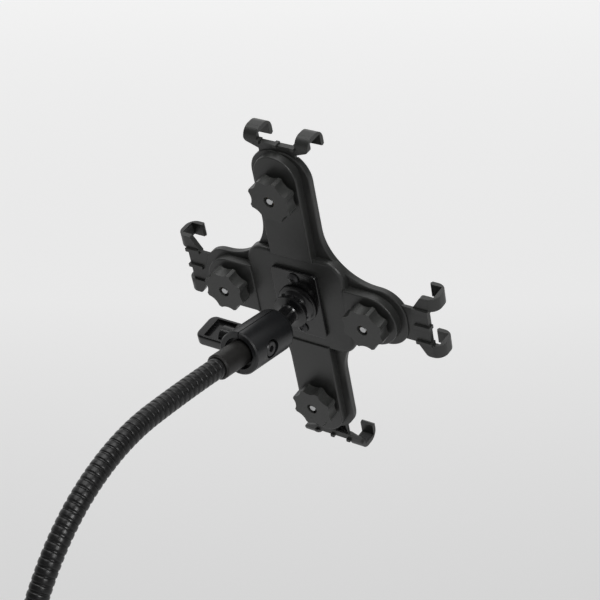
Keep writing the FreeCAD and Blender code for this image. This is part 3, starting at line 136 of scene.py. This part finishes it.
def modify(piece, kind, **settings):
    """Add one modifier, set it and apply it."""
    activate(piece)
    modifier = piece.modifiers.new(kind.lower(), kind)
    for name, value in settings.items():
        setattr(modifier, name, value)
    bpy.ops.object.modifier_apply(modifier=modifier.name)


def turned(name, profile, steps=64):
    """A solid of revolution: a ring is drawn, then extruded and resized from station to station."""
    deselect()
    radius, height = profile[0]
    bpy.ops.mesh.primitive_circle_add(vertices=steps, radius=radius, location=(0, 0, 0), fill_type="NGON")
    piece = bpy.context.object
    piece.name = name
    bpy.ops.object.mode_set(mode="EDIT")
    bpy.ops.mesh.select_all(action="SELECT")
    bpy.ops.transform.translate(value=(0, 0, height))
    for next_radius, next_height in profile[1:]:
        bpy.ops.mesh.extrude_region_move(TRANSFORM_OT_translate={"value": (0, 0, next_height - height)})
        grow = next_radius / radius
        bpy.ops.transform.resize(value=(grow, grow, 1), center_override=(0, 0, next_height))
        radius, height = next_radius, next_height
    bpy.ops.mesh.select_all(action="SELECT")
    bpy.ops.mesh.normals_make_consistent(inside=False)
    bpy.ops.object.mode_set(mode="OBJECT")
    return piece


def block(name, low, high):
    """A box between two corners."""
    deselect()
    middle = [(a + b) / 2 for a, b in zip(low, high)]
    size = [b - a for a, b in zip(low, high)]
    bpy.ops.mesh.primitive_cube_add(size=1, location=middle, scale=size)
    piece = bpy.context.object
    piece.name = name
    bpy.ops.object.transform_apply(location=True, rotation=True, scale=True)
    return piece


def copy_of(piece, name, spot=None):
    """A copy with its own mesh, moved to a spot if one is given."""
    twin = bpy.data.objects.new(name, piece.data.copy())
    bpy.context.scene.collection.objects.link(twin)
    if spot is not None:
        twin.data.transform(spot)
    return twin


def joined(pieces):
    activate(pieces[0])
    for piece in pieces:
        piece.select_set(True)
    bpy.ops.object.join()
    return bpy.context.object


def combine(piece, tool, operation):
    """Add a tool to a piece or cut it away, and put the tool back in the drawer."""
    modify(piece, "BOOLEAN", operation=operation, object=tool, solver="EXACT", use_self=True)
    bpy.data.objects.remove(tool)


def soften_edges(piece, width, segments=2, sharper_than=30, smooth_below=35):
    """Round the sharp edges, with the flat faces between them kept flat in the light."""
    activate(piece)
    bpy.ops.object.shade_smooth_by_angle(angle=math.radians(smooth_below))
    modify(piece, "BEVEL", width=width, segments=segments, limit_method="ANGLE",
           angle_limit=math.radians(sharper_than), miter_outer="MITER_ARC", harden_normals=True)


def smooth(piece, below):
    """Shade a piece smoothly wherever its faces meet at less than an angle."""
    activate(piece)
    bpy.ops.object.shade_smooth_by_angle(angle=math.radians(below))


def arc(radius, height, start, end, steps):
    """Profile points along a round stretch about a point on the axis."""
    angles = [math.radians(start + (end - start) * step / steps) for step in range(steps + 1)]
    return [(radius * math.cos(angle), height + radius * math.sin(angle)) for angle in angles]


def place(piece, spot):
    """Put a piece that was made in millimetres at its spot, in metres, with the place in its mesh."""
    piece.data.transform(Matrix.Scale(MM, 4) @ spot)


def from_cad(node, name, spot):
    """A merged copy of a CAD node's mesh, in millimetres in the frame of a spot."""
    piece = copy_of(nodes[node], name, Matrix.Scale(1 / MM, 4))
    piece.data.transform(spot.inverted())
    activate(piece)
    bpy.ops.mesh.customdata_custom_splitnormals_clear()
    bpy.ops.object.mode_set(mode="EDIT")
    bpy.ops.mesh.select_all(action="SELECT")
    bpy.ops.mesh.remove_doubles(threshold=SAME_POINT)
    bpy.ops.mesh.dissolve_limited(angle_limit=math.radians(SAME_PLANE))
    bpy.ops.object.mode_set(mode="OBJECT")
    return piece


def stands_for(piece, node, finish, rides=True):
    """Give a piece its finish and its body, and let it stand for a CAD node."""
    piece.data.materials.clear()
    piece.data.materials.append(finish)
    if rides:
        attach(piece, body_of[node])
    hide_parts(node)


# Finishes

class Signal:
    """One output of a finish's nodes; arithmetic on it adds Math nodes."""

    def __init__(self, finish, socket):
        self.finish = finish
        self.socket = socket

    def math(self, operation, *values):
        return self.finish.node("ShaderNodeMath", {"operation": operation}, dict(enumerate(values)))

    def __add__(self, other):
        return self.math("ADD", self, other)

    def __sub__(self, other):
        return self.math("SUBTRACT", self, other)

    def __rsub__(self, other):
        return self.math("SUBTRACT", other, self)

    def __mul__(self, other):
        return self.math("MULTIPLY", self, other)

    __radd__ = __add__
    __rmul__ = __mul__


class Finish:
    """A material being mixed, on the piece's own coordinates."""

    def __init__(self, name):
        self.material = bpy.data.materials.new(name)
        self.material.use_nodes = True
        self.tree = self.material.node_tree
        self.tree.nodes.clear()
        self.spot = self.node("ShaderNodeTexCoord", result="Object")

    def node(self, kind, settings=None, sockets=None, result=0):
        """Add a node: its settings come first, then the values or links of its sockets."""
        made = self.tree.nodes.new(kind)
        for name, value in (settings or {}).items():
            if name == "stops":
                self.set_stops(made.color_ramp, value)
            else:
                setattr(made, name, value)
        for name, value in (sockets or {}).items():
            if isinstance(value, Signal):
                self.tree.links.new(value.socket, made.inputs[name])
            else:
                made.inputs[name].default_value = value
        return Signal(self, made.outputs[result]) if made.outputs else None

    def set_stops(self, ramp, stops):
        for position, shade in stops[2:]:
            ramp.elements.new(position)
        for element, (position, shade) in zip(ramp.elements, sorted(stops)):
            element.position = position
            element.color = (shade, shade, shade, 1)

    def noise(self, grains_per_mm, detail=2.0, roughness=0.5):
        """Cloudy noise from 0 to 1."""
        return self.node("ShaderNodeTexNoise", {}, {
            "Vector": self.spot, "Scale": grains_per_mm / MM, "Detail": detail, "Roughness": roughness})

    def cells(self, cells_per_mm):
        """Distance to the nearest point of a random scatter."""
        return self.node("ShaderNodeTexVoronoi", {}, {
            "Vector": self.spot, "Scale": cells_per_mm / MM}, "Distance")

    def ramp(self, signal, *stops):
        """A shade that follows a signal from stop to stop."""
        return self.node("ShaderNodeValToRGB", {"stops": list(stops)}, {"Fac": signal})

    def blend(self, factor, colour_a, colour_b):
        """A colour between two, by a factor."""
        return self.node("ShaderNodeMix", {"data_type": "RGBA"}, {0: factor, 6: colour_a, 7: colour_b}, 2)

    def bump(self, height, depth_mm):
        """The surface's normal over a relief of a given depth."""
        sockets = {"Height": height, "Distance": depth_mm * MM, "Strength": 1.0}
        return self.node("ShaderNodeBump", {}, sockets)

    def finish(self, **sockets):
        """The surface itself, from the sockets of its shader."""
        names = {name.replace("_", " "): value for name, value in sockets.items()}
        surface = self.node("ShaderNodeBsdfPrincipled", {}, names)
        self.node("ShaderNodeOutputMaterial", {}, {"Surface": surface})
        return self.material


def grey(value, tint=(1, 1, 1)):
    """A grey of one value, with a slight tint."""
    return (value * tint[0], value * tint[1], value * tint[2], 1)


PLASTIC_TINT = (0.97, 1.0, 0.95)


def moulded_black():
    """Charcoal moulded plastic: fine eroded grain, cloudy sheen, a few pale scuffs."""
    f = Finish("moulded_black")
    grain = f.noise(3.2, 3, 0.6)
    cloud = f.noise(0.045, 3)
    scuff = f.ramp(f.noise(0.35, 4, 0.7), (0.62, 0), (0.78, 1))
    colour = f.blend(cloud, grey(0.016, PLASTIC_TINT), grey(0.024, PLASTIC_TINT))
    colour = f.blend(scuff * 0.2, colour, grey(0.05, PLASTIC_TINT))
    return f.finish(Base_Color=colour, Roughness=cloud * 0.12 + scuff * 0.1 + 0.34,
                    Normal=f.bump(grain, 0.014), Specular_IOR_Level=0.5)


def knob_black():
    """Harder, slightly shinier plastic of the knobs, with dust in its grain."""
    f = Finish("knob_black")
    grain = f.noise(2.4, 2)
    cloud = f.noise(0.12, 3)
    dust = f.ramp(f.noise(0.9, 4, 0.7), (0.56, 0), (0.74, 1))
    colour = f.blend(cloud, grey(0.022, PLASTIC_TINT), grey(0.034, PLASTIC_TINT))
    colour = f.blend(dust * 0.3, colour, grey(0.07, PLASTIC_TINT))
    return f.finish(Base_Color=colour, Roughness=cloud * 0.16 + 0.34, Normal=f.bump(grain, 0.012))


def glossy_boss():
    """Polished black of the stud and the wing."""
    f = Finish("glossy_boss")
    ripple = f.noise(0.25, 2)
    colour = f.blend(f.noise(0.08, 2), grey(0.004), grey(0.008, (1, 1, 1.06)))
    return f.finish(Base_Color=colour, Roughness=ripple * 0.1 + 0.17, Normal=f.bump(ripple, 0.02))


def barrel_satin():
    """Satin casting with a bluish cast, a little orange peel and dusty patches."""
    f = Finish("barrel_satin")
    peel = f.noise(0.7, 2)
    cloud = f.noise(0.07, 3)
    colour = f.blend(cloud, grey(0.006, (0.95, 1, 1.1)), grey(0.013, (0.95, 1, 1.08)))
    return f.finish(Base_Color=colour, Roughness=cloud * 0.14 + 0.3, Normal=f.bump(peel, 0.018))


def dull_rubber():
    f = Finish("dull_rubber")
    pits = f.cells(1.6)
    colour = f.blend(f.noise(0.2, 4), grey(0.016), grey(0.03))
    return f.finish(Base_Color=colour, Roughness=0.8, Normal=f.bump(pits, 0.03))


def powder_coat():
    """Satin black powder coat with its fine orange peel."""
    f = Finish("powder_coat")
    peel = f.noise(0.9, 2) * 0.7 + f.noise(3.0, 2) * 0.3
    cloud = f.noise(0.02, 3)
    colour = f.blend(cloud, grey(0.011), grey(0.018, (1, 1, 1.03)))
    return f.finish(Base_Color=colour, Roughness=cloud * 0.1 + 0.36, Normal=f.bump(peel, 0.035))


def ferrule_black():
    """Dull, brownish black of the two ferrules, with turning marks left faintly in it."""
    f = Finish("ferrule_black")
    cloud = f.noise(0.25, 4, 0.6)
    colour = f.blend(cloud, grey(0.005, (1.05, 1, 0.92)), grey(0.012, (1.05, 1, 0.94)))
    return f.finish(Base_Color=colour, Roughness=cloud * 0.16 + 0.4, Specular_IOR_Level=0.35,
                    Normal=f.bump(f.noise(1.6, 3), 0.02))


def black_oxide():
    """Blackened steel of the screws, oily and uneven."""
    f = Finish("black_oxide")
    cloud = f.noise(0.8, 4, 0.6)
    colour = f.blend(cloud, grey(0.02, (1, 1, 1.05)), grey(0.055, (1, 1, 1.04)))
    return f.finish(Base_Color=colour, Metallic=0.6, Roughness=cloud * 0.2 + 0.26,
                    Normal=f.bump(f.noise(2.0, 3), 0.015))


def sleeve_black():
    """Semi-gloss sleeve, duller where dust lies."""
    f = Finish("sleeve_black")
    dust = f.noise(0.3, 4, 0.65)
    colour = f.blend(dust, grey(0.005), grey(0.011, (1, 1, 1.04)))
    return f.finish(Base_Color=colour, Roughness=dust * 0.14 + 0.28, Specular_IOR_Level=0.35,
                    Normal=f.bump(f.noise(1.5, 2), 0.012))


def bright_zinc():
    f = Finish("bright_zinc")
    cloud = f.noise(0.4, 4, 0.6)
    colour = f.blend(cloud, grey(0.4, (1, 1.0, 0.97)), grey(0.58, (0.98, 1, 1.03)))
    return f.finish(Base_Color=colour, Metallic=1.0, Roughness=cloud * 0.2 + 0.24,
                    Normal=f.bump(f.noise(2.5, 2), 0.01))


def turned_steel():
    f = Finish("turned_steel")
    marks = f.noise(1.8, 3)
    colour = f.blend(marks, grey(0.5), grey(0.66))
    return f.finish(Base_Color=colour, Metallic=1.0, Roughness=marks * 0.15 + 0.22,
                    Normal=f.bump(marks, 0.01))


def cast_weight():
    f = Finish("cast_weight")
    lumps = f.noise(0.35, 5, 0.65)
    colour = f.blend(lumps, grey(0.035), grey(0.07, (1, 1, 1.04)))
    return f.finish(Base_Color=colour, Roughness=0.62, Normal=f.bump(lumps, 0.25))


def slide_white():
    f = Finish("slide_white")
    cloud = f.noise(0.2, 3)
    colour = f.blend(cloud, grey(0.68, (1, 0.99, 0.94)), grey(0.78, (1, 0.99, 0.95)))
    return f.finish(Base_Color=colour, Roughness=cloud * 0.15 + 0.38, Normal=f.bump(f.noise(2, 2), 0.01))


def turned_brass():
    f = Finish("turned_brass")
    cloud = f.noise(0.9, 3)
    colour = f.blend(cloud, (0.6, 0.4, 0.16, 1), (0.8, 0.6, 0.3, 1))
    return f.finish(Base_Color=colour, Metallic=1.0, Roughness=cloud * 0.15 + 0.25,
                    Normal=f.bump(f.noise(2.2, 2), 0.01))


moulded = moulded_black()
knob_plastic = knob_black()
boss = glossy_boss()
satin = barrel_satin()
rubber = dull_rubber()
powder = powder_coat()
ferrule = ferrule_black()
oxide = black_oxide()
sleeve = sleeve_black()
zinc = bright_zinc()
steel = turned_steel()
casting = cast_weight()
white_plastic = slide_white()
brass = turned_brass()

finish_of_slot = {"black_moulding": moulded, "black_boss": boss, "black_rubber": rubber,
                  "black_tube": powder, "neck_sleeve": sleeve, "bright_zinc": zinc, "bare_steel": steel,
                  "dark_weight": casting, "white_bush": white_plastic, "brass_insert": brass}
finish_of_node = {"barrel_left": satin, "barrel_right": satin, "upper_ferrule": ferrule,
                  "lower_ferrule": ferrule}
for node, slot in slot_of.items():
    nodes[node].data.materials.clear()
    nodes[node].data.materials.append(finish_of_node.get(node, finish_of_slot[slot]))


# Star knobs

KNOB_POINTS = 8
WELL_DEPTH = 1.4
WELL_FLOOR = 1.2
WELL_WIDTH = 7.4
SCREW_HOLE = 6.0
ARM_KNOB = {"width": 29.6, "foot_width": 18.0, "foot_height": 0.9, "height": 8.0,
            "scallop": 17.0, "depth": 2.1, "bore": 9.06}
HEIGHT_KNOB = {"width": 38.0, "foot_width": 24.0, "foot_height": 2.7, "height": 16.0,
               "scallop": 22.1, "depth": 2.73, "bore": 8.06}


def star_knob(name, width, foot_width, foot_height, height, scallop, depth, bore):
    """Round body on a short foot, scalloped into a star, with a bored middle and a well in its face."""
    top = foot_height + height
    piece = turned(name, [(foot_width / 2, 0), (foot_width / 2, foot_height), (width / 2, foot_height),
                          (width / 2, top)], 128)
    reach = width / 2 + scallop / 2 - depth
    bites = []
    for index in range(KNOB_POINTS):
        bite = turned("bite", [(scallop / 2, foot_height - 2), (scallop / 2, top + 2)], 48)
        bite.data.transform(spin_z(index * 360 / KNOB_POINTS) @ Matrix.Translation((reach, 0, 0)))
        bites.append(bite)
    combine(piece, joined(bites), "DIFFERENCE")
    floor_height = top - WELL_DEPTH - WELL_FLOOR
    well = turned("well", [(bore / 2, -1), (bore / 2, floor_height), (SCREW_HOLE / 2, floor_height),
                           (SCREW_HOLE / 2, top - WELL_DEPTH), (WELL_WIDTH / 2, top - WELL_DEPTH),
                           (WELL_WIDTH / 2, top + 3)], 48)
    combine(piece, well, "DIFFERENCE")
    return piece


pattern = star_knob("knob", **ARM_KNOB)
soften_edges(pattern, 0.6, 3)
for side, (angle, reach) in arms.items():
    knob = copy_of(pattern, side + "_star_knob")
    place(knob, holder @ spin_z(angle) @ Matrix.Translation((0, reach, KNOB_SEAT)))
    stands_for(knob, side + "_knob", knob_plastic)
bpy.data.objects.remove(pattern)

large_knob = star_knob("height_star_knob", **HEIGHT_KNOB)
soften_edges(large_knob, 0.8, 3)
place(large_knob, axes(HEIGHT_KNOB_POINT, Vector((0, 0, -1)), Vector((1, 0, 0))))
stands_for(large_knob, "height_knob", knob_plastic)


# Claws and rubber pads

LINING = {"size": (8.4, 7.4, 0.7), "rib_count": 6, "corner": 0.5}
REST = {"size": (26.0, 10.0, 0.8), "rib_count": 12, "corner": 2.0}


def claw(side, spot):
    """A claw with every sharp edge eased."""
    piece = from_cad(side + "_claw", side + "_hooks", spot)
    soften_edges(piece, 0.5, 3)
    place(piece, spot)
    stands_for(piece, side + "_claw", moulded)


def ribbed_pad(name, size, rib_count, corner):
    """Rubber pad lying on z = 0, its upper face cut into soft ribs across its length."""
    length, width, height = size
    sheet = block(name, (-length / 2, -width / 2, 0), (length / 2, width / 2, height * 0.55))
    edit(sheet)
    pick("EDGE", lambda edge: abs(edge.verts[0].co.z - edge.verts[1].co.z) > height / 3)
    bpy.ops.mesh.bevel(offset=corner, segments=4)
    bpy.ops.object.mode_set(mode="OBJECT")
    pitch = (length - 2 * corner) / rib_count
    rib = block("rib", (-length / 2 + corner, -width / 2 + corner / 2, height * 0.4),
                (-length / 2 + corner + pitch * 0.6, width / 2 - corner / 2, height))
    modify(rib, "ARRAY", count=rib_count, use_relative_offset=False, use_constant_offset=True,
           constant_offset_displace=(pitch, 0, 0))
    soften_edges(rib, min(pitch * 0.2, height * 0.3), 2)
    return joined([sheet, rib])


lining = ribbed_pad("lining", **LINING)
for side, (angle, reach) in arms.items():
    spot = holder @ spin_z(angle)
    claw(side, spot)
    pair = []
    for offset in (-HOOK_SPACING / 2, HOOK_SPACING / 2):
        seat = axes(Vector((offset, TABLET_EDGE[side] + LINING["size"][2], TABLET_BACK / 2)), UP,
                    Vector((0, -1, 0)))
        pair.append(copy_of(lining, side + "_ribbed_linings", seat))
    linings = joined(pair)
    place(linings, spot)
    stands_for(linings, side + "_claw_linings", rubber)
bpy.data.objects.remove(lining)


# Holder's shells

def shell(node, name, width, finish):
    """A shell of the holder with its edges eased by a width."""
    piece = from_cad(node, name, holder)
    soften_edges(piece, width, 2)
    place(piece, holder)
    stands_for(piece, node, finish)
    return piece


shell("rear_cover", "holder_back", 0.5, moulded)
shell("front_plate", "holder_front", 0.4, moulded)
shell("stud_plate", "mounting_plate", 0.35, boss)


def back_rests():
    """Ribbed rubber pads that the tablet's back lies against."""
    rest = ribbed_pad("rest", **REST)
    rests = []
    for side, (angle, reach) in arms.items():
        seat = axes(Vector((0, REST_REACH[side], TABLET_BACK + REST["size"][2])), Vector((1, 0, 0)), -UP)
        rests.append(copy_of(rest, "ribbed_rests", spin_z(angle) @ seat))
    bpy.data.objects.remove(rest)
    pads = joined(rests)
    place(pads, holder)
    stands_for(pads, "back_rests", rubber)


SCREW_SHANK = 2.0
SCREW_HEAD = [(3.5, 0), (3.8, 0.3), (3.8, 0.9)] + arc(4.6, -2.0, 42, 80, 6)
CROSS_REACH = 2.2
CROSS_HALF_WIDTH = 0.45
CROSS_FLOOR = 1.2
CROSS_TURN = 25


def plate_screws():
    """Domed screws with a cross recess that hold the mounting plate."""
    shank = [(SCREW_SHANK, NUT_SEAT - STUD_SEAT), (SCREW_SHANK, 0)]
    screw = turned("screw", shank + SCREW_HEAD, 48)
    bars = []
    for turn_by in (0, 90):
        bar = block("bar", (-CROSS_REACH, -CROSS_HALF_WIDTH, CROSS_FLOOR),
                    (CROSS_REACH, CROSS_HALF_WIDTH, 4))
        edit(bar)
        pick("FACE", lambda face: face.calc_center_median().z < CROSS_FLOOR + 0.1)
        bpy.ops.transform.resize(value=(0.45, 0.7, 1), center_override=(0, 0, CROSS_FLOOR))
        bpy.ops.object.mode_set(mode="OBJECT")
        bar.data.transform(spin_z(turn_by + CROSS_TURN))
        bars.append(bar)
    combine(screw, joined(bars), "DIFFERENCE")
    soften_edges(screw, 0.1, 2)
    pair = [copy_of(screw, "cross_screws", Matrix.Translation((0, reach, STUD_SEAT)))
            for reach in (-PLATE_SCREW_REACH, PLATE_SCREW_REACH)]
    bpy.data.objects.remove(screw)
    screws = joined(pair)
    place(screws, holder)
    stands_for(screws, "plate_screws", oxide)


back_rests()
plate_screws()


# Swivel: ball stud, clamping bolt and wing

SPIGOT = [(4.0, NUT_SEAT), (4.0, STUD_SEAT)]
STUD_DISC = [(13.3, STUD_SEAT), (13.7, 21.9), (13.7, 22.9), (13.3, 23.3)]
STUD_WAIST = [(12.5, 23.5), (11.3, 24.1), (10.3, 25.0), (9.6, 26.1), (9.6, 27.0), (10.3, 28.4)]
STUD_COLLAR = [(11.2, 29.6), (11.75, 30.2), (11.75, 31.0), (11.4, 31.4), (10.6, 31.5)]
STUD_NECK = [(7.6, 31.8), (6.5, 32.3), (6.0, 33.2)]


def ball_stud():
    """Turned stud: a base disc, a waist, a collar and the neck that carries the ball's core."""
    core = arc(BALL_CORE, BALL_HEIGHT, -41.4, 88, 14)
    piece = turned("turned_stud", SPIGOT + STUD_DISC + STUD_WAIST + STUD_COLLAR + STUD_NECK + core, 96)
    smooth(piece, 28)
    place(piece, holder)
    stands_for(piece, "ball_stud", boss)


def clamp_bolt():
    """Socket-head bolt across the barrel."""
    piece = from_cad("clamp_bolt", "socket_bolt", barrel)
    soften_edges(piece, 0.2, 2)
    place(piece, barrel)
    stands_for(piece, "clamp_bolt", oxide)


def wing():
    """Wing on top of the barrel."""
    piece = from_cad("wing_knob", "wing_nut", barrel)
    soften_edges(piece, 0.5, 3)
    place(piece, barrel)
    stands_for(piece, "wing_knob", boss)


ball_stud()
clamp_bolt()
wing()


# Ribbed sleeve of the bendable arm

NECK_BASE = 925.0
NECK_DEPTH = 12.0
STRAIGHT_RUN = 60.0
BENDS = ((165.0, 90.0, 50.0), (130.0, 50.0, 5.0), (950.0, 5.0, 1.2))
RIB_COUNT = 75
RING = [(0.0, 5.9), (0.03, 6.12), (0.16, 6.12), (0.19, 5.9)]
RIB = [(0.25, 6.3), (0.33, 6.46), (0.45, 6.5), (0.74, 6.5), (0.86, 6.46), (0.94, 6.3), (1.0, 5.9)]


def heading(angle):
    """The way the arm runs where it leans by an angle from level."""
    return Vector((0, -math.cos(math.radians(angle)), math.sin(math.radians(angle))))


def above(angle):
    """The way out of the bend where the arm leans by an angle from level."""
    return Vector((0, math.sin(math.radians(angle)), math.cos(math.radians(angle))))


def neck_line():
    """The arm's centre line as one smooth curve, and its length, in millimetres."""
    corner = Vector((0, 0, NECK_BASE - NECK_DEPTH))
    joints = [(corner, 90.0, 0.0, (STRAIGHT_RUN + NECK_DEPTH) / 3)]
    length = STRAIGHT_RUN + NECK_DEPTH
    corner = corner + UP * length
    grip = length / 3
    for radius, start, end in BENDS:
        turn = math.radians(start - end)
        next_grip = radius * math.tan(turn / 4) * 4 / 3
        joints.append((corner, start, grip, next_grip))
        corner = corner - above(start) * radius + above(end) * radius
        length += radius * turn
        grip = next_grip
    joints.append((corner, BENDS[-1][2], grip, NECK_DEPTH / 3))
    corner = corner + heading(BENDS[-1][2]) * NECK_DEPTH
    length += NECK_DEPTH
    joints.append((corner, BENDS[-1][2], NECK_DEPTH / 3, 0.0))
    deselect()
    bpy.ops.curve.primitive_bezier_curve_add(location=(0, 0, 0))
    line = bpy.context.object
    line.data.dimensions = "3D"
    line.data.resolution_u = 48
    knots = line.data.splines[0].bezier_points
    knots.add(len(joints) - len(knots))
    for knot, (spot, angle, before, after) in zip(knots, joints):
        knot.handle_left_type = "FREE"
        knot.handle_right_type = "FREE"
        knot.co = spot
        knot.handle_left = spot - heading(angle) * before
        knot.handle_right = spot + heading(angle) * after
    return line, length


def neck_sleeve():
    """The ribbed sleeve: one rib is shaped from a ring, repeated and bent along the arm's line."""
    line, length = neck_line()
    pitch = (length - 2 * NECK_DEPTH) / RIB_COUNT
    stations = RING + RIB
    height, radius = stations[0]
    deselect()
    bpy.ops.mesh.primitive_circle_add(vertices=48, radius=radius, location=(0, 0, 0))
    rib = bpy.context.object
    rib.name = "ribbed_sleeve"
    bpy.ops.object.mode_set(mode="EDIT")
    bpy.ops.mesh.select_mode(type="EDGE")
    bpy.ops.mesh.select_all(action="SELECT")
    for part, next_radius in stations[1:]:
        next_height = part * pitch
        bpy.ops.mesh.extrude_region_move(TRANSFORM_OT_translate={"value": (0, 0, next_height - height)})
        grow = next_radius / radius
        bpy.ops.transform.resize(value=(grow, grow, 1), center_override=(0, 0, next_height))
        radius, height = next_radius, next_height
    bpy.ops.mesh.select_all(action="SELECT")
    bpy.ops.mesh.normals_make_consistent(inside=False)
    bpy.ops.object.mode_set(mode="OBJECT")
    modify(rib, "ARRAY", count=RIB_COUNT, use_relative_offset=False, use_constant_offset=True,
           constant_offset_displace=(0, 0, pitch), use_merge_vertices=True, merge_threshold=0.001)
    rib.data.transform(Matrix.Translation((0, 0, NECK_DEPTH)))
    modify(rib, "CURVE", object=line, deform_axis="POS_Z")
    bpy.data.objects.remove(line)
    smooth(rib, 50)
    place(rib, Matrix.Identity(4))
    return rib


sleeve_piece = neck_sleeve()
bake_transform(sleeve_piece)
stands_for(sleeve_piece, "gooseneck", sleeve, rides=False)


# Floor, lights and camera

VIEW = Vector((0.5048, -0.757, -0.4149)).normalized()
CAMERA_SIDE = Vector((-0.832, -0.5548, 0)).normalized()
BACKDROP = Vector((0.555, -0.832, 0.0))
CAMERA_SPOT = Vector((-0.5462, 0.5411, 1.6))
FOCAL_LENGTH = 103.45
SENSOR_WIDTH = 36
AIM = Vector((0, -0.2, 1.1))
FLOOR_SIZE = 60
FLOOR_SHADE = 0.5
FLOOR_SPAN = 8.0
FLOOR_GLOW = ((2.2, 0.34), (3.5, 0.57), (6.2, 0.72))


def seen_rays(f):
    """1 on the rays that show the background: those of the camera, of mirrors and of clear pieces."""
    camera_ray = f.node("ShaderNodeLightPath", result="Is Camera Ray")
    glossy_ray = f.node("ShaderNodeLightPath", result="Is Glossy Ray")
    clear_ray = f.node("ShaderNodeLightPath", result="Is Transmission Ray")
    return camera_ray.math("MAXIMUM", camera_ray.math("MAXIMUM", camera_ray, glossy_ray), clear_ray)


def floor():
    """Pale floor that keeps the stand's shadow and glows a little brighter further away."""
    deselect()
    bpy.ops.mesh.primitive_plane_add(size=FLOOR_SIZE, location=(0, 0, 0))
    piece = bpy.context.object
    piece.name = "studio_floor"
    f = Finish("studio_floor")
    lit = f.node("ShaderNodeBsdfDiffuse", {}, {"Color": grey(FLOOR_SHADE)})
    ahead = f.node("ShaderNodeVectorMath", {"operation": "DOT_PRODUCT"}, {0: f.spot, 1: BACKDROP}, "Value")
    distance = (ahead - CAMERA_SPOT.dot(BACKDROP)) * (1 / FLOOR_SPAN)
    strength = f.ramp(distance, *[(far / FLOOR_SPAN, level) for far, level in FLOOR_GLOW])
    glow = f.node("ShaderNodeEmission", {}, {"Color": grey(1.0), "Strength": seen_rays(f) * strength})
    both = f.node("ShaderNodeAddShader", {}, {0: lit, 1: glow})
    f.node("ShaderNodeOutputMaterial", {}, {"Surface": both})
    piece.data.materials.append(f.material)


class Air(Finish):
    """The world's nodes; its spot is the direction looked in."""

    def __init__(self, world):
        world.use_nodes = True
        self.tree = world.node_tree
        self.tree.nodes.clear()
        self.spot = self.node("ShaderNodeTexCoord", result="Generated")


def studio_air():
    """White behind the stand, dimming to a dark room behind the camera; the camera sees white only."""
    world = bpy.context.scene.world or bpy.data.worlds.new("studio")
    bpy.context.scene.world = world
    f = Air(world)
    ahead = f.node("ShaderNodeVectorMath", {"operation": "DOT_PRODUCT"},
                   {0: f.spot, 1: BACKDROP}, "Value")
    bright = f.node("ShaderNodeMapRange", {"interpolation_type": "SMOOTHSTEP"},
                    {"Value": ahead, "From Min": -0.1, "From Max": 0.9, "To Min": 0.06, "To Max": 1.0})
    camera_ray = f.node("ShaderNodeLightPath", result="Is Camera Ray")
    clear_ray = f.node("ShaderNodeLightPath", result="Is Transmission Ray")
    strength = camera_ray.math("MAXIMUM", camera_ray.math("MAXIMUM", camera_ray, clear_ray), bright)
    back = f.node("ShaderNodeBackground", {}, {"Color": grey(1.0), "Strength": strength})
    f.node("ShaderNodeOutputWorld", {}, {"Surface": back})


def soft_light(name, direction, distance, side, power):
    """A square soft box that looks at the holder."""
    lamp = bpy.data.lights.new(name, "AREA")
    lamp.shape = "RECTANGLE"
    lamp.size = side
    lamp.size_y = side
    lamp.energy = power
    light = bpy.data.objects.new(name, lamp)
    bpy.context.scene.collection.objects.link(light)
    light.location = AIM + direction.normalized() * distance
    light.rotation_mode = "QUATERNION"
    light.rotation_quaternion = (-direction).to_track_quat("-Z", "Y")


def photo_camera():
    """Camera at the photograph's place, behind the holder and a little above it."""
    lens = bpy.data.cameras.new("photo_lens")
    camera = bpy.data.objects.new("photo_camera", lens)
    bpy.context.scene.collection.objects.link(camera)
    bpy.context.scene.camera = camera
    lens.sensor_width = SENSOR_WIDTH
    lens.lens = FOCAL_LENGTH
    lens.clip_start = 0.05
    lens.clip_end = 200
    up_axis = CAMERA_SIDE.cross(VIEW).normalized()
    turn = Matrix((CAMERA_SIDE, up_axis, -VIEW)).transposed().to_4x4()
    camera.matrix_world = Matrix.Translation(CAMERA_SPOT) @ turn


floor()
studio_air()
soft_light("key_box", Vector((-0.75, 0.41, 0.52)), distance=2.2, side=0.7, power=26)
soft_light("top_box", Vector((0.1, 0.15, 1)), distance=2.5, side=2.0, power=40)
photo_camera()
bpy.context.scene.view_settings.view_transform = "Standard"
